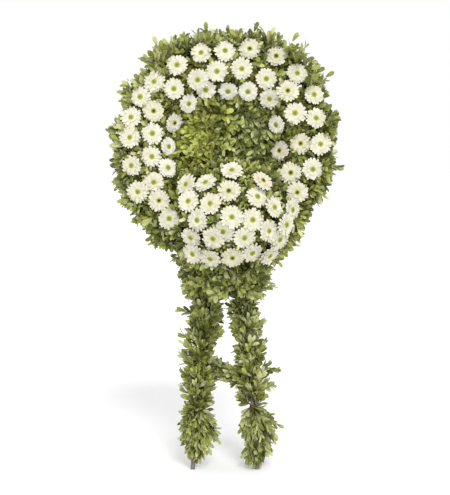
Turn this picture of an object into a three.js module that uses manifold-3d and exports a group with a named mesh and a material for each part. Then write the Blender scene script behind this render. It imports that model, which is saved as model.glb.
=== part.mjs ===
// A standing memorial wreath: a straw ring dressed with evergreen leaves and white gerberas,
// a domed bouquet on its lower half, and a steel trestle whose front legs are wrapped in leaves.
// Millimetres, +Z up, the flowers face -Y. The wreath and the front legs lie in one plane that
// leans back: "face" coordinates are (across, up the plane, out of the plane) from the ring's centre.

import * as THREE from "three";
import { mergeVertices } from "three/addons/utils/BufferGeometryUtils.js";
import Module from "manifold-3d";

const wasm = await Module();
wasm.setup();

// ---------------------------------------------------------------- driving dimensions
const LEAN = THREE.MathUtils.degToRad(7);
const RING_HEIGHT = 1290;
const FIT_GAP = 0.6;
const STRAW = { major: 315, tube: 75, sides: 10, steps: 28 };
const PAD = { radius: 218, front: 0, back: -58 };

const TUBE_RADIUS = 7.5;
const ROD_RADIUS = 5;
const WELD_GAP = { rod: 2, brace: 4 };
const CAP = { radius: 9, length: 44, floor: 6 };
const HOOP = { radius: 4, out: -(STRAW.tube + FIT_GAP + 4) };
const LEG = {
  spread: 131, taper: 0.0766, topHeight: 1516,
  out: HOOP.out - HOOP.radius - FIT_GAP - TUBE_RADIUS,
};
const REAR = { spread: 137, footBack: 593, topSpread: 24, topBack: 42 };
const YOKE = { width: 84, height: 30, depth: 68, lip: 12 };
const BRACE = { leftHeight: 415, rightHeight: 345, arch: 12 };
const STAY_HEIGHT = { left: 231, right: 250 };
const REAR_BAR_HEIGHT = 960;

const FLOWER = {
  radius: 41, petals: 6, eye: 10, dome: 8, calyx: 13,
  stem: 2.4, pick: 4, pickLength: 26, pickHead: 14,
};
const RING_SURFACE = { crest: 325, height: 112, innerBend: 0.0068, outerBend: 0.0033 };
const DOME = {
  across: 35, up: -275, halfWidth: 215, halfHeight: 200,
  base: 60, rise: 170, reach: 1.25, tilt: 45,
};
const BOUQUET_PICK = { pull: 0.78 };
const FOAM = { halfWidth: 176, halfHeight: 164, base: STRAW.tube + 2, rise: 98 };

const LEAF = { widest: 0.58, fold: 0.18, slimness: 0.54, widestWidth: 36 };
const RIM = { from: -162, to: 160, arcs: 6, leaves: 20, rootDistance: 432, rootOut: 0 };
const RIM_SECTION = [[393, -20], [420, -38], [446, -12], [442, 22], [402, 34]];
const INNER = { from: -140, to: 132, arcs: 3, leaves: 11, rootDistance: 229, rootOut: 20 };
const INNER_SECTION = [[223, 2], [238, 2], [240, 24], [230, 28]];
const ARC_STEPS = 40;
const CENTRE_MAT = { radius: 212, thickness: 6, leaves: 18 };
const COLLAR = { margin: 10, out: 84, bundle: 6, leaves: 22 };
const NECK = { top: -412, height: 176, topWidth: 140, bottomWidth: 96, flatness: 0.44, out: -12, leaves: 38 };
const SLEEVE = { inner: TUBE_RADIUS + 1.1, end: 13, fullness: 0.7, stations: 5, sides: 8 };
const BRACE_SLEEVE = {
  outer: 10, inner: ROD_RADIUS + 1.1, from: 0.16, to: 0.84,
  leaves: 18, halfThickness: 26,
};

// Each row is one wired group of heads on the ring: [clock angle in degrees, distance from the centre].
const RING_GROUPS = [
  [[0, 384], [-14, 388], [-6, 303]],
  [[-30, 378], [-22, 291], [-18, 243]],
  [[-47, 384], [-41, 308], [-39, 230]],
  [[-59, 391], [-63, 316], [-72, 391]],
  [[-63, 227], [-79, 292], [-88, 227]],
  [[-84, 377], [-101, 375], [-97, 291]],
  [[-109, 243], [-116, 312], [-117, 384]],
  [[-129, 334], [-142, 356]],
  [[3, 228], [12, 318], [22, 245]],
  [[14, 406], [29, 418], [31, 317]],
  [[42, 263], [48, 333], [44, 412]],
  [[59, 411], [64, 308], [72, 378]],
  [[65, 226], [87, 299], [92, 219]],
  [[88, 376], [104, 356]],
  [[111, 280], [122, 336]],
];

// Each row is one wired group of heads on the bouquet: [across, up], measured from the ring's centre.
const BOUQUET_GROUPS = [
  [[-153, -148], [-141, -218], [-105, -292]],
  [[-75, -146], [-61, -224], [15, -180]],
  [[27, -88], [147, -132], [127, -200]],
  [[-141, -364], [-53, -368], [-129, -424]],
  [[-7, -320], [27, -262], [77, -350]],
  [[111, -280], [195, -240], [266, -248]],
  [[233, -308], [169, -334], [211, -384]],
  [[-57, -444], [29, -444], [107, -428], [187, -440]],
];

// The lengths of leg that the garlands cover: top height, bottom height, and which way their leaves lie.
const LEG_GARLANDS = [
  { name: "left_upper", side: -1, top: 700, bottom: 440, lie: 1 },
  { name: "left_middle", side: -1, top: 392, bottom: 252, lie: 1 },
  { name: "left_lower", side: -1, top: 212, bottom: 62, lie: -1 },
  { name: "right_upper", side: 1, top: 700, bottom: 370, lie: 1 },
  { name: "right_middle", side: 1, top: 322, bottom: 272, lie: 1 },
  { name: "right_lower", side: 1, top: 228, bottom: 58, lie: -1 },
];
const LEG_LEAVES = { spacing: 12, lieAngle: 52, shortest: 34, longest: 84, floorGap: 14 };

// Half-width of the foliage on each leg: [height, half-width], joined by straight lines.
const LEG_OUTLINE = {
  left: [[50, 22], [100, 50], [165, 72], [232, 44], [360, 76], [520, 58], [700, 78]],
  right: [[40, 26], [100, 50], [150, 76], [250, 28], [360, 62], [520, 58], [700, 66]],
};

// ---------------------------------------------------------------- helpers
const Y = new THREE.Vector3(0, 1, 0);
const Z = new THREE.Vector3(0, 0, 1);
const rad = THREE.MathUtils.degToRad;
const vec = (x, y, z) => new THREE.Vector3(x, y, z);

// A repeatable stream of numbers between 0 and 1.
function randomStream(seed) {
  let state = seed;
  return () => {
    state = (state * 1664525 + 1013904223) % 4294967296;
    return state / 4294967296;
  };
}

// A closed geometry as a solid that can be joined and cut.
function solidOf(geometry) {
  const bare = geometry.clone();
  bare.deleteAttribute("normal");
  bare.deleteAttribute("uv");
  const merged = mergeVertices(bare, 1e-3);
  return new wasm.Manifold(
    new wasm.Mesh({
      numProp: 3,
      vertProperties: merged.attributes.position.array,
      triVerts: new Uint32Array(merged.index.array),
    }),
  );
}

// A solid as a geometry to draw.
function geometryOf(solid) {
  const mesh = solid.getMesh();
  const geometry = new THREE.BufferGeometry();
  geometry.setAttribute("position", new THREE.BufferAttribute(new Float32Array(mesh.vertProperties), 3));
  geometry.setIndex(new THREE.BufferAttribute(new Uint32Array(mesh.triVerts), 1));
  geometry.computeVertexNormals();
  return geometry;
}

const join = (solids) => solids.reduce((whole, piece) => whole.add(piece));

// A round bar of the given radius between two points.
function bar(from, to, radius, sides = 10) {
  const length = from.distanceTo(to);
  const turn = new THREE.Quaternion().setFromUnitVectors(Y, to.clone().sub(from).normalize());
  const geometry = new THREE.CylinderGeometry(radius, radius, length, sides)
    .translate(0, length / 2, 0)
    .applyQuaternion(turn)
    .translate(from.x, from.y, from.z);
  return solidOf(geometry);
}

// A many-sided outline of a circle.
function roundOutline(radius, sides) {
  const points = [];
  for (let i = 0; i < sides; i += 1) {
    const angle = (2 * Math.PI * i) / sides;
    points.push(new THREE.Vector2(radius * Math.cos(angle), radius * Math.sin(angle)));
  }
  return points;
}

// A round bar swept along a curve, with a bore along it where an inner radius is given.
function sweptBar(curve, radius, steps, sides = 6, inner = 0) {
  const outline = new THREE.Shape(roundOutline(radius, sides));
  if (inner > 0) {
    outline.holes.push(new THREE.Path(roundOutline(inner, sides).reverse()));
  }
  return solidOf(new THREE.ExtrudeGeometry(outline, { steps, extrudePath: curve, bevelEnabled: false }));
}

// A closed profile of [distance, out] points turned about the out-of-plane axis.
function turned(profile, steps) {
  const points = [...profile, profile[0]].map(([distance, out]) => new THREE.Vector2(distance, out));
  return solidOf(new THREE.LatheGeometry(points, steps).rotateX(Math.PI / 2));
}

// The stretch of a turned ring between two clock angles.
function turnedArc(profile, from, to) {
  const reach = 2 * Math.max(...profile.map(([distance]) => distance));
  const outline = [new THREE.Vector2(0, 0)];
  for (let i = 0; i <= 4; i += 1) {
    const edge = clockPoint(THREE.MathUtils.lerp(from, to, i / 4), reach, 0);
    outline.unshift(new THREE.Vector2(edge.x, edge.y));
  }
  const wedge = new THREE.ExtrudeGeometry(new THREE.Shape(outline), { depth: reach, bevelEnabled: false });
  return turned(profile, ARC_STEPS).intersect(solidOf(wedge.translate(0, 0, -reach / 2)));
}

// A ring about the out-of-plane axis, whose round section has the given centre and radius.
function ringSolid(major, out, radius, sides, steps) {
  return turned(roundOutline(radius, sides).map((point) => [major + point.x, out + point.y]), steps);
}

// A point on the face at a clock angle, a distance from the ring's centre and a height out of the plane.
function clockPoint(degrees, distance, out) {
  return vec(distance * Math.sin(rad(degrees)), distance * Math.cos(rad(degrees)), out);
}

// A folded leaf: base at the origin, tip along +Y, its two widest points lifted towards +Z.
function leafGeometry(length, width) {
  const leaf = new THREE.TetrahedronGeometry(1, 0);
  const at = leaf.attributes.position;
  for (let i = 0; i < at.count; i += 1) {
    const side = at.getY(i) > 0 ? Math.sign(at.getX(i)) : 0;
    const isTip = at.getY(i) < 0 && at.getX(i) > 0;
    const along = side === 0 ? Number(isTip) : LEAF.widest;
    at.setXYZ(i, (side * width) / 2, along * length, Math.abs(side) * LEAF.fold * width);
  }
  return leaf;
}

// The matrix that stands a shape made along +Y at a point, along a direction, with +Z towards "facing".
function standAt(point, direction, facing) {
  const along = direction.clone().normalize();
  const side = along.clone().cross(facing).normalize();
  const front = side.clone().cross(along);
  return new THREE.Matrix4().makeBasis(side, along, front).setPosition(point);
}

// ---------------------------------------------------------------- bookkeeping of finished pieces
const material = (color, roughness, metalness = 0) =>
  new THREE.MeshStandardMaterial({ color, roughness, metalness });
const FINISH = {
  steel: ["#8a8886", 0.42, 0.85],
  cap: ["#77706c", 0.7],
  straw: ["#b79a5e", 0.9],
  foam: ["#4d6b45", 0.95],
  petal: ["#eeebdf", 0.6],
  leaf: ["#76843c", 0.45],
  limeLeaf: ["#a8b545", 0.45],
  blueLeaf: ["#5f7648", 0.45],
};

const lean = new THREE.Group();
lean.position.set(0, RING_HEIGHT * Math.tan(LEAN), RING_HEIGHT);
lean.rotation.x = Math.PI / 2 - LEAN;
lean.updateMatrixWorld(true);
const toFace = (point) => lean.worldToLocal(point.clone());

const finished = [];

function finish(name, solid, look) {
  const mesh = new THREE.Mesh(geometryOf(solid), material(...FINISH[look]));
  mesh.name = name;
  lean.add(mesh);
  finished.push({ solid, box: solid.boundingBox() });
}

// True where a solid stays clear of every finished piece.
function isClear(solid) {
  const box = solid.boundingBox();
  return finished.every((other) => {
    const apart = [0, 1, 2].some((k) => box.min[k] > other.box.max[k] || other.box.min[k] > box.max[k]);
    return apart || solid.intersect(other.solid).isEmpty();
  });
}

// ---------------------------------------------------------------- flowers
// A head is a shallow cone with a scalloped rim round a raised eye, looking along +Z from the origin.
function headSolid(radius) {
  const profile = [
    new THREE.Vector2(0, -FLOWER.calyx),
    new THREE.Vector2(radius, 3),
    new THREE.Vector2(FLOWER.eye, 1),
    new THREE.Vector2(0, FLOWER.dome),
  ];
  const geometry = new THREE.LatheGeometry(profile, 2 * FLOWER.petals);
  const at = geometry.attributes.position;
  for (let i = 0; i < at.count; i += 1) {
    const distance = Math.hypot(at.getX(i), at.getZ(i));
    const step = Math.round((Math.atan2(at.getX(i), at.getZ(i)) * FLOWER.petals) / Math.PI);
    const notch = distance > 2 * FLOWER.eye && step % 2 !== 0 ? 0.86 : 1;
    at.setXYZ(i, at.getX(i) * notch, at.getY(i), at.getZ(i) * notch);
  }
  return solidOf(geometry.rotateX(Math.PI / 2));
}

// Where a ring flower's head sits, on the parabola of the dressed ring, and where it looks.
function ringFlower([degrees, distance]) {
  const step = distance - RING_SURFACE.crest;
  const bend = step < 0 ? RING_SURFACE.innerBend : RING_SURFACE.outerBend;
  const tilt = Math.atan(2 * bend * step);
  return {
    centre: clockPoint(degrees, distance, RING_SURFACE.height - bend * step * step),
    facing: clockPoint(degrees, Math.sin(tilt), Math.cos(tilt)),
  };
}

// Where a bouquet flower's head sits, on the dome, and where it looks: further out, further aside.
function bouquetFlower([across, up]) {
  const aside = vec((across - DOME.across) / DOME.halfWidth, (up - DOME.up) / DOME.halfHeight, 0);
  const reach = aside.length();
  const tilt = rad(DOME.tilt * reach);
  const out = DOME.base + DOME.rise * Math.sqrt(1 - (reach / DOME.reach) ** 2);
  return {
    centre: vec(across, up, out),
    facing: aside.setLength(Math.sin(tilt)).setZ(Math.cos(tilt)),
  };
}

// Oversize copies of the picks: the holes that they are pushed into.
const pickHoles = [];

// A group of heads wired to one pick, which goes in at "entry" along "inwards".
// Heads shrink until they clear the other groups and each other.
function flowerGroup(name, flowers, entry, inwards) {
  const at = (depth) => entry.clone().addScaledVector(inwards, depth);
  pickHoles.push(bar(at(-FLOWER.pick), at(FLOWER.pickLength + FIT_GAP), FLOWER.pick + FIT_GAP, 5));
  const heads = [];
  const stems = flowers.map(({ centre, facing }) => {
    const turn = new THREE.Quaternion().setFromUnitVectors(Z, facing.clone().normalize());
    const place = new THREE.Matrix4().compose(centre, turn, vec(1, 1, 1)).elements;
    const fits = (radius) => {
      const roomy = headSolid(radius + 1).transform(place);
      return isClear(roomy) && heads.every((head) => head.intersect(roomy).isEmpty());
    };
    let radius = FLOWER.radius;
    while (!fits(radius)) {
      radius -= 2;
    }
    heads.push(headSolid(radius).transform(place));
    const neck = centre.clone().addScaledVector(facing, -FLOWER.calyx / 2);
    return bar(neck, at(-FLOWER.pickHead), FLOWER.stem, 4);
  });
  const pick = bar(at(-FLOWER.pickHead - FLOWER.stem), at(FLOWER.pickLength), FLOWER.pick, 5);
  finish(name, join([pick, ...stems, ...heads]), "petal");
}

function middle(flowers) {
  return flowers.reduce((sum, { centre }) => sum.add(centre), vec(0, 0, 0)).divideScalar(flowers.length);
}

const numbered = (stem, index) => `${stem}_${String(index + 1).padStart(2, "0")}`;

// On the ring a pick goes in square to the straw, under the middle of its group.
RING_GROUPS.forEach((group, index) => {
  const flowers = group.map(ringFlower);
  const centre = middle(flowers);
  const core = centre.clone().setZ(0).setLength(STRAW.major);
  const inwards = core.clone().sub(centre).normalize();
  const entry = core.clone().addScaledVector(inwards, -STRAW.tube);
  flowerGroup(numbered("ring_flowers", index), flowers, entry, inwards);
});

// On the bouquet it goes in square to the foam's dome.
BOUQUET_GROUPS.forEach((group, index) => {
  const flowers = group.map(bouquetFlower);
  const centre = middle(flowers);
  const across = (BOUQUET_PICK.pull * (centre.x - DOME.across)) / FOAM.halfWidth;
  const up = (BOUQUET_PICK.pull * (centre.y - DOME.up)) / FOAM.halfHeight;
  const out = Math.sqrt(1 - across * across - up * up);
  const entry = vec(
    DOME.across + across * FOAM.halfWidth,
    DOME.up + up * FOAM.halfHeight,
    FOAM.base + out * FOAM.rise,
  );
  const inwards = vec(-across / FOAM.halfWidth, -up / FOAM.halfHeight, -out / FOAM.rise).normalize();
  flowerGroup(numbered("bouquet_flowers", index), flowers, entry, inwards);
});

// ---------------------------------------------------------------- ring, pad and foam
const pierced = (solid) => pickHoles.reduce((left, hole) => left.subtract(hole), solid);

finish("straw_ring", pierced(ringSolid(STRAW.major, 0, STRAW.tube, STRAW.sides, STRAW.steps)), "straw");

// The foam is a flat-backed dome that lies on the front of the ring.
const foamDome = solidOf(new THREE.SphereGeometry(1, 14, 8).rotateX(Math.PI / 2))
  .transform(new THREE.Matrix4().makeScale(FOAM.halfWidth, FOAM.halfHeight, FOAM.rise).elements)
  .intersect(solidOf(new THREE.BoxGeometry(3, 3, 1).scale(FOAM.halfWidth, FOAM.halfWidth, FOAM.rise * 2)
    .translate(0, 0, FOAM.rise)))
  .transform(new THREE.Matrix4().makeTranslation(DOME.across, DOME.up, FOAM.base).elements);
finish("bouquet_foam", pierced(foamDome), "foam");

// The pad fills the ring's hole from the back, leaving a recess in front.
const padRound = new THREE.CylinderGeometry(PAD.radius, PAD.radius, PAD.front - PAD.back, 32)
  .rotateX(Math.PI / 2)
  .translate(0, 0, (PAD.front + PAD.back) / 2);
finish("centre_pad", solidOf(padRound), "straw");

// ---------------------------------------------------------------- trestle
// A point on a front leg's axis at a height above the floor; side is -1 on the left, 1 on the right.
function legPoint(side, height) {
  const across = side * (LEG.spread - LEG.taper * height);
  return vec(across, (height - RING_HEIGHT - LEG.out * Math.sin(LEAN)) / Math.cos(LEAN), LEG.out);
}

const yokeUp = legPoint(1, LEG.topHeight).y;

// A point on a rear leg's axis at a height above the floor.
function rearPoint(side, height) {
  const foot = vec(side * REAR.spread, REAR.footBack, 0);
  const top = lean.localToWorld(vec(side * REAR.topSpread, yokeUp, LEG.out - REAR.topBack));
  return toFace(foot.lerp(top, height / top.z));
}

// The two ends of a rod that stops just short of the tubes it is welded to.
function betweenTubes(from, to, gap = WELD_GAP.rod) {
  const step = to.clone().sub(from).setLength(TUBE_RADIUS + gap);
  return [from.clone().add(step), to.clone().sub(step)];
}

const floorBlock = solidOf(new THREE.BoxGeometry(1000, 2000, 400).translate(0, 300, -200))
  .transform(lean.matrixWorld.clone().invert().elements);

// A closed cap on a leg's end, with a flat sole on the floor; gives the point where the tube starts.
function footCap(name, foot, above) {
  const along = above.clone().sub(foot).normalize();
  const at = (distance) => foot.clone().addScaledVector(along, distance);
  const socket = bar(at(CAP.floor), at(2 * CAP.length), TUBE_RADIUS + FIT_GAP, 12);
  const body = bar(at(-CAP.radius), at(CAP.length), CAP.radius + FIT_GAP, 12);
  finish(name, body.subtract(socket).subtract(floorBlock), "cap");
  return at(CAP.floor + FIT_GAP);
}

const SIDES = [["left", -1], ["right", 1]];
const legSockets = [];

SIDES.forEach(([word, side]) => {
  const frontStart = footCap(`front_foot_cap_${word}`, legPoint(side, 0), legPoint(side, 100));
  const frontTop = legPoint(side, LEG.topHeight);
  finish(`front_leg_${word}`, bar(frontStart, frontTop, TUBE_RADIUS), "steel");
  const frontSocketTop = frontTop.setY(frontTop.y + FIT_GAP);
  legSockets.push(bar(legPoint(side, LEG.topHeight - 100), frontSocketTop, TUBE_RADIUS + FIT_GAP));

  const rearStart = footCap(`rear_foot_cap_${word}`, rearPoint(side, 0), rearPoint(side, 100));
  const rearTop = rearPoint(side, LEG.topHeight);
  finish(`rear_leg_${word}`, bar(rearStart, rearTop, TUBE_RADIUS), "steel");
  const rearSocketTop = rearPoint(side, LEG.topHeight + 1);
  legSockets.push(bar(rearPoint(side, LEG.topHeight - 100), rearSocketTop, TUBE_RADIUS + FIT_GAP));

  const height = STAY_HEIGHT[word];
  const stayEnds = betweenTubes(legPoint(side, height), rearPoint(side, height));
  finish(`side_stay_${word}`, bar(...stayEnds, ROD_RADIUS, 8), "steel");
});

const yokeBlock = new THREE.BoxGeometry(YOKE.width, YOKE.height, YOKE.depth)
  .translate(0, yokeUp - YOKE.height / 2 + 8, LEG.out + YOKE.lip - YOKE.depth / 2);
finish("top_yoke", legSockets.reduce((left, socket) => left.subtract(socket), solidOf(yokeBlock)), "steel");

const rearBarEnds = betweenTubes(rearPoint(-1, REAR_BAR_HEIGHT), rearPoint(1, REAR_BAR_HEIGHT));
finish("rear_crossbar", bar(...rearBarEnds, ROD_RADIUS, 8), "steel");
finish("ring_hoop", ringSolid(STRAW.major, HOOP.out, HOOP.radius, 5, STRAW.steps), "steel");

const [braceLeft, braceRight] = betweenTubes(
  legPoint(-1, BRACE.leftHeight),
  legPoint(1, BRACE.rightHeight),
  WELD_GAP.brace,
);
const braceMiddle = braceLeft.clone().lerp(braceRight, 0.5).add(vec(0, 2 * BRACE.arch, 0));
const braceCurve = new THREE.QuadraticBezierCurve3(braceLeft, braceMiddle, braceRight);
finish("front_brace", sweptBar(braceCurve, ROD_RADIUS, 8, 8), "steel");

// ---------------------------------------------------------------- foliage
const random = randomStream(71);
const between = (low, high) => low + (high - low) * random();

// Joins leaves to the bundle of twigs that carries them, leaving out any that would touch another piece.
function foliage(name, bundle, leaves, look) {
  let whole = bundle;
  leaves.forEach(({ base, direction, facing, length }) => {
    const place = standAt(base, direction, facing).elements;
    const width = Math.min(LEAF.slimness * length, LEAF.widestWidth);
    const roomy = solidOf(leafGeometry(length + 1, width + 2)).transform(place);
    if (isClear(roomy)) {
      whole = whole.add(solidOf(leafGeometry(length, width)).transform(place));
    }
  });
  finish(name, whole, look);
}

// Rim: leaves lie outwards all round the ring, some behind and some in front.
const rimStep = (RIM.to - RIM.from) / RIM.arcs;
for (let arc = 0; arc < RIM.arcs; arc += 1) {
  const from = RIM.from + arc * rimStep + 0.8;
  const to = from + rimStep - 1.6;
  const leaves = [];
  for (let i = 0; i < RIM.leaves; i += 1) {
    const clock = THREE.MathUtils.lerp(from + 1.5, to - 1.5, (i + 0.5) / RIM.leaves);
    const front = i % 2;
    const tilt = rad(front ? between(20, 62) : between(-28, 12));
    const swing = clock + between(-28, 28);
    leaves.push({
      base: clockPoint(clock, RIM.rootDistance, RIM.rootOut),
      direction: clockPoint(swing, Math.cos(tilt), Math.sin(tilt)),
      facing: clockPoint(clock, -Math.sin(tilt), Math.cos(tilt)),
      length: between(34, 66) + 12 * Math.cos(rad(clock)),
    });
  }
  foliage(numbered("rim_foliage", arc), turnedArc(RIM_SECTION, from, to), leaves, "leaf");
}

// Inner wall: leaves rise from the foot of the recess towards its mouth.
const innerStep = (INNER.to - INNER.from) / INNER.arcs;
for (let arc = 0; arc < INNER.arcs; arc += 1) {
  const from = INNER.from + arc * innerStep + 1.5;
  const to = from + innerStep - 3;
  const leaves = [];
  for (let i = 0; i < INNER.leaves; i += 1) {
    const clock = THREE.MathUtils.lerp(from + 3, to - 3, (i + 0.5) / INNER.leaves);
    const tilt = rad(between(20, 60));
    leaves.push({
      base: clockPoint(clock, INNER.rootDistance, INNER.rootOut),
      direction: clockPoint(clock + between(-30, 30), -Math.cos(tilt), Math.sin(tilt)),
      facing: clockPoint(clock, Math.sin(tilt), Math.cos(tilt)),
      length: between(44, 62),
    });
  }
  foliage(numbered("inner_foliage", arc), turnedArc(INNER_SECTION, from, to), leaves, "leaf");
}

// Centre: two half-round mats, lime leaves on the left and bluish ones on the right.
SIDES.forEach(([word, side]) => {
  const half = new THREE.Shape();
  const turn = side > 0 ? -Math.PI / 2 : Math.PI / 2;
  half.absarc(side * 2, 0, CENTRE_MAT.radius, turn, turn + Math.PI, false);
  const mat = new THREE.ExtrudeGeometry(half, {
    depth: CENTRE_MAT.thickness, bevelEnabled: false, curveSegments: 12,
  }).translate(0, 0, PAD.front + FIT_GAP);
  const leaves = [];
  for (let i = 0; i < CENTRE_MAT.leaves; i += 1) {
    const distance = CENTRE_MAT.radius * Math.sqrt((i + 0.6) / (CENTRE_MAT.leaves + 2));
    const angle = side * (8 + ((i * 61.8) % 150));
    const tilt = rad(between(25, 70));
    const heading = between(0, 360);
    leaves.push({
      base: clockPoint(angle, distance, PAD.front + CENTRE_MAT.thickness / 2),
      direction: clockPoint(heading, Math.cos(tilt), Math.sin(tilt)),
      facing: clockPoint(heading, -Math.sin(tilt), Math.cos(tilt)),
      length: between(40, 56),
    });
  }
  foliage(`centre_foliage_${word}`, solidOf(mat), leaves, side > 0 ? "blueLeaf" : "limeLeaf");
});

// Collar: leaves lie outwards from under the bouquet.
const collarWidth = FOAM.halfWidth + COLLAR.margin;
const collarHeight = FOAM.halfHeight + COLLAR.margin;
const collarRing = new THREE.TorusGeometry(1, COLLAR.bundle / collarWidth, 6, 28)
  .scale(collarWidth, collarHeight, collarWidth)
  .translate(DOME.across, DOME.up, COLLAR.out);
const collarLeaves = [];
for (let i = 0; i < COLLAR.leaves; i += 1) {
  const angle = (360 * i) / COLLAR.leaves;
  const tilt = rad(between(-8, 40));
  const outwards = clockPoint(angle, 1, 0);
  collarLeaves.push({
    base: vec(DOME.across + collarWidth * outwards.x, DOME.up + collarHeight * outwards.y, COLLAR.out),
    direction: clockPoint(angle + between(-20, 20), Math.cos(tilt), Math.sin(tilt)),
    facing: clockPoint(angle, -Math.sin(tilt), Math.cos(tilt)),
    length: between(48, 70),
  });
}
foliage("bouquet_foliage", solidOf(collarRing), collarLeaves, "leaf");

// Neck: a tapering bundle below the ring, its leaves hanging forwards and down.
const neckBundle = new THREE.CylinderGeometry(NECK.topWidth, NECK.bottomWidth, NECK.height, 12)
  .scale(1, 1, NECK.flatness)
  .translate(0, NECK.top - NECK.height / 2, NECK.out);
const neckLeaves = [];
for (let i = 0; i < NECK.leaves; i += 1) {
  const fall = (i + 0.5) / NECK.leaves;
  const around = rad(-105 + ((i * 77) % 210));
  const width = THREE.MathUtils.lerp(NECK.topWidth, NECK.bottomWidth, fall) * 0.92;
  const outwards = vec(Math.sin(around), 0, Math.cos(around));
  const up = NECK.top - 6 - fall * (NECK.height - 12);
  neckLeaves.push({
    base: vec(width * outwards.x, up, NECK.out + width * NECK.flatness * outwards.z),
    direction: outwards.clone().add(vec(between(-0.4, 0.4), between(-1.5, -0.3), 0)),
    facing: outwards,
    length: between(54, 80),
  });
}
foliage("neck_foliage", solidOf(neckBundle), neckLeaves, "leaf");

// The foliage's half-width at a height on a leg.
function outlineAt(rows, height) {
  const next = rows.findIndex(([rowHeight]) => rowHeight >= height);
  if (next <= 0) {
    return rows[next === 0 ? 0 : rows.length - 1][1];
  }
  const [lowHeight, lowWidth] = rows[next - 1];
  const [highHeight, highWidth] = rows[next];
  return THREE.MathUtils.mapLinear(height, lowHeight, highHeight, lowWidth, highWidth);
}

// Leaves set round a curve; lie is 1 towards its far end, -1 away from it.
function leavesRound(curve, count, lie, radiusAt, lengthAt) {
  const leaves = [];
  for (let i = 0; i < count; i += 1) {
    const t = (i + 0.5) / count;
    const turn = i * 2.4;
    const axis = curve.getTangent(t);
    const side = axis.clone().cross(Z).normalize();
    const front = side.clone().cross(axis);
    const outwards = side.clone().multiplyScalar(Math.cos(turn)).addScaledVector(front, Math.sin(turn));
    const angle = rad(lie * (LEG_LEAVES.lieAngle + between(-18, 18)));
    const facing = outwards.clone().multiplyScalar(Math.abs(Math.sin(angle)));
    leaves.push({
      base: curve.getPoint(t).addScaledVector(outwards, radiusAt(t)),
      direction: outwards.clone().multiplyScalar(Math.cos(angle)).addScaledVector(axis, Math.sin(angle)),
      facing: facing.addScaledVector(axis, -lie * Math.cos(angle)),
      length: lengthAt(t, angle),
    });
  }
  return leaves;
}

// A garland is a bushy sleeve round the leg, with leaves lying up it, or down it below the waist.
LEG_GARLANDS.forEach(({ name, side, top, bottom, lie }) => {
  const axis = new THREE.LineCurve3(legPoint(side, bottom), legPoint(side, top));
  const rows = side < 0 ? LEG_OUTLINE.left : LEG_OUTLINE.right;
  const heightAt = (t) => THREE.MathUtils.lerp(bottom, top, t);
  const bushAt = (t) => {
    const whole = Math.max(SLEEVE.end, SLEEVE.fullness * outlineAt(rows, heightAt(t)));
    const taper = Math.min(1, 2 * SLEEVE.stations * Math.min(t, 1 - t));
    return THREE.MathUtils.lerp(SLEEVE.end, whole, taper);
  };
  const length = axis.getLength();
  const profile = [[SLEEVE.inner, 0], [SLEEVE.end, 0]];
  for (let i = 1; i <= SLEEVE.stations; i += 1) {
    const t = (i - 0.5) / SLEEVE.stations;
    profile.push([bushAt(t), t * length]);
  }
  profile.push([SLEEVE.end, length], [SLEEVE.inner, length]);
  const lieDown = new THREE.Matrix4().makeRotationX(-Math.PI / 2);
  const stand = standAt(axis.v1, axis.getTangent(0), Z).multiply(lieDown);
  const bush = turned(profile, SLEEVE.sides).transform(stand.elements);
  const lengthAt = (t, angle) => {
    const reach = (outlineAt(rows, heightAt(t)) - 0.8 * bushAt(t)) / Math.cos(angle);
    const wanted = THREE.MathUtils.clamp(reach, LEG_LEAVES.shortest, LEG_LEAVES.longest);
    const toFloor = (heightAt(t) - LEG_LEAVES.floorGap) / Math.abs(Math.sin(angle));
    return lie > 0 ? wanted : Math.min(wanted, toFloor);
  };
  const count = Math.round((top - bottom) / LEG_LEAVES.spacing);
  const leaves = leavesRound(axis, count, lie, (t) => 0.8 * bushAt(t), lengthAt);
  foliage(`leg_foliage_${name}`, bush, leaves, "leaf");
});

// Crosspiece: a leafy sleeve along the middle of the brace.
const sleevePoints = [0, 0.5, 1].map((t) => braceCurve.getPoint(
  THREE.MathUtils.lerp(BRACE_SLEEVE.from, BRACE_SLEEVE.to, t),
));
const sleeveMiddle = sleevePoints[1].clone().multiplyScalar(2)
  .addScaledVector(sleevePoints[0], -0.5)
  .addScaledVector(sleevePoints[2], -0.5);
const sleeveCurve = new THREE.QuadraticBezierCurve3(sleevePoints[0], sleeveMiddle, sleevePoints[2]);
foliage(
  "crosspiece_foliage",
  sweptBar(sleeveCurve, BRACE_SLEEVE.outer, 5, 8, BRACE_SLEEVE.inner),
  leavesRound(
    sleeveCurve,
    BRACE_SLEEVE.leaves,
    -1,
    () => (BRACE_SLEEVE.outer + BRACE_SLEEVE.inner) / 2,
    () => between(BRACE_SLEEVE.halfThickness, 1.7 * BRACE_SLEEVE.halfThickness),
  ),
  "leaf",
);

// ---------------------------------------------------------------- the whole piece
// The group's origin is the middle of the standing piece's footprint box, on the floor.
const wreath = new THREE.Group();
wreath.add(lean);
wreath.updateMatrixWorld(true);
const box = new THREE.Box3().setFromObject(wreath, true);
const centre = box.getCenter(vec(0, 0, 0));
lean.position.add(vec(-centre.x, -centre.y, -box.min.z));

export default wreath;
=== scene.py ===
# %% [markdown]
# # A standing memorial wreath
# A straw ring is dressed with sprigs of evergreen leaves and white gerberas, a domed bouquet sits on
# its lower half, and a steel trestle whose front legs are wrapped in leaves holds it up.
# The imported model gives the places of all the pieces. This lesson grows the leaves, petals, straw and
# tubes round it as surfaces worked out with numpy, then gives each one a finish made of nodes.

import math

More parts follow.
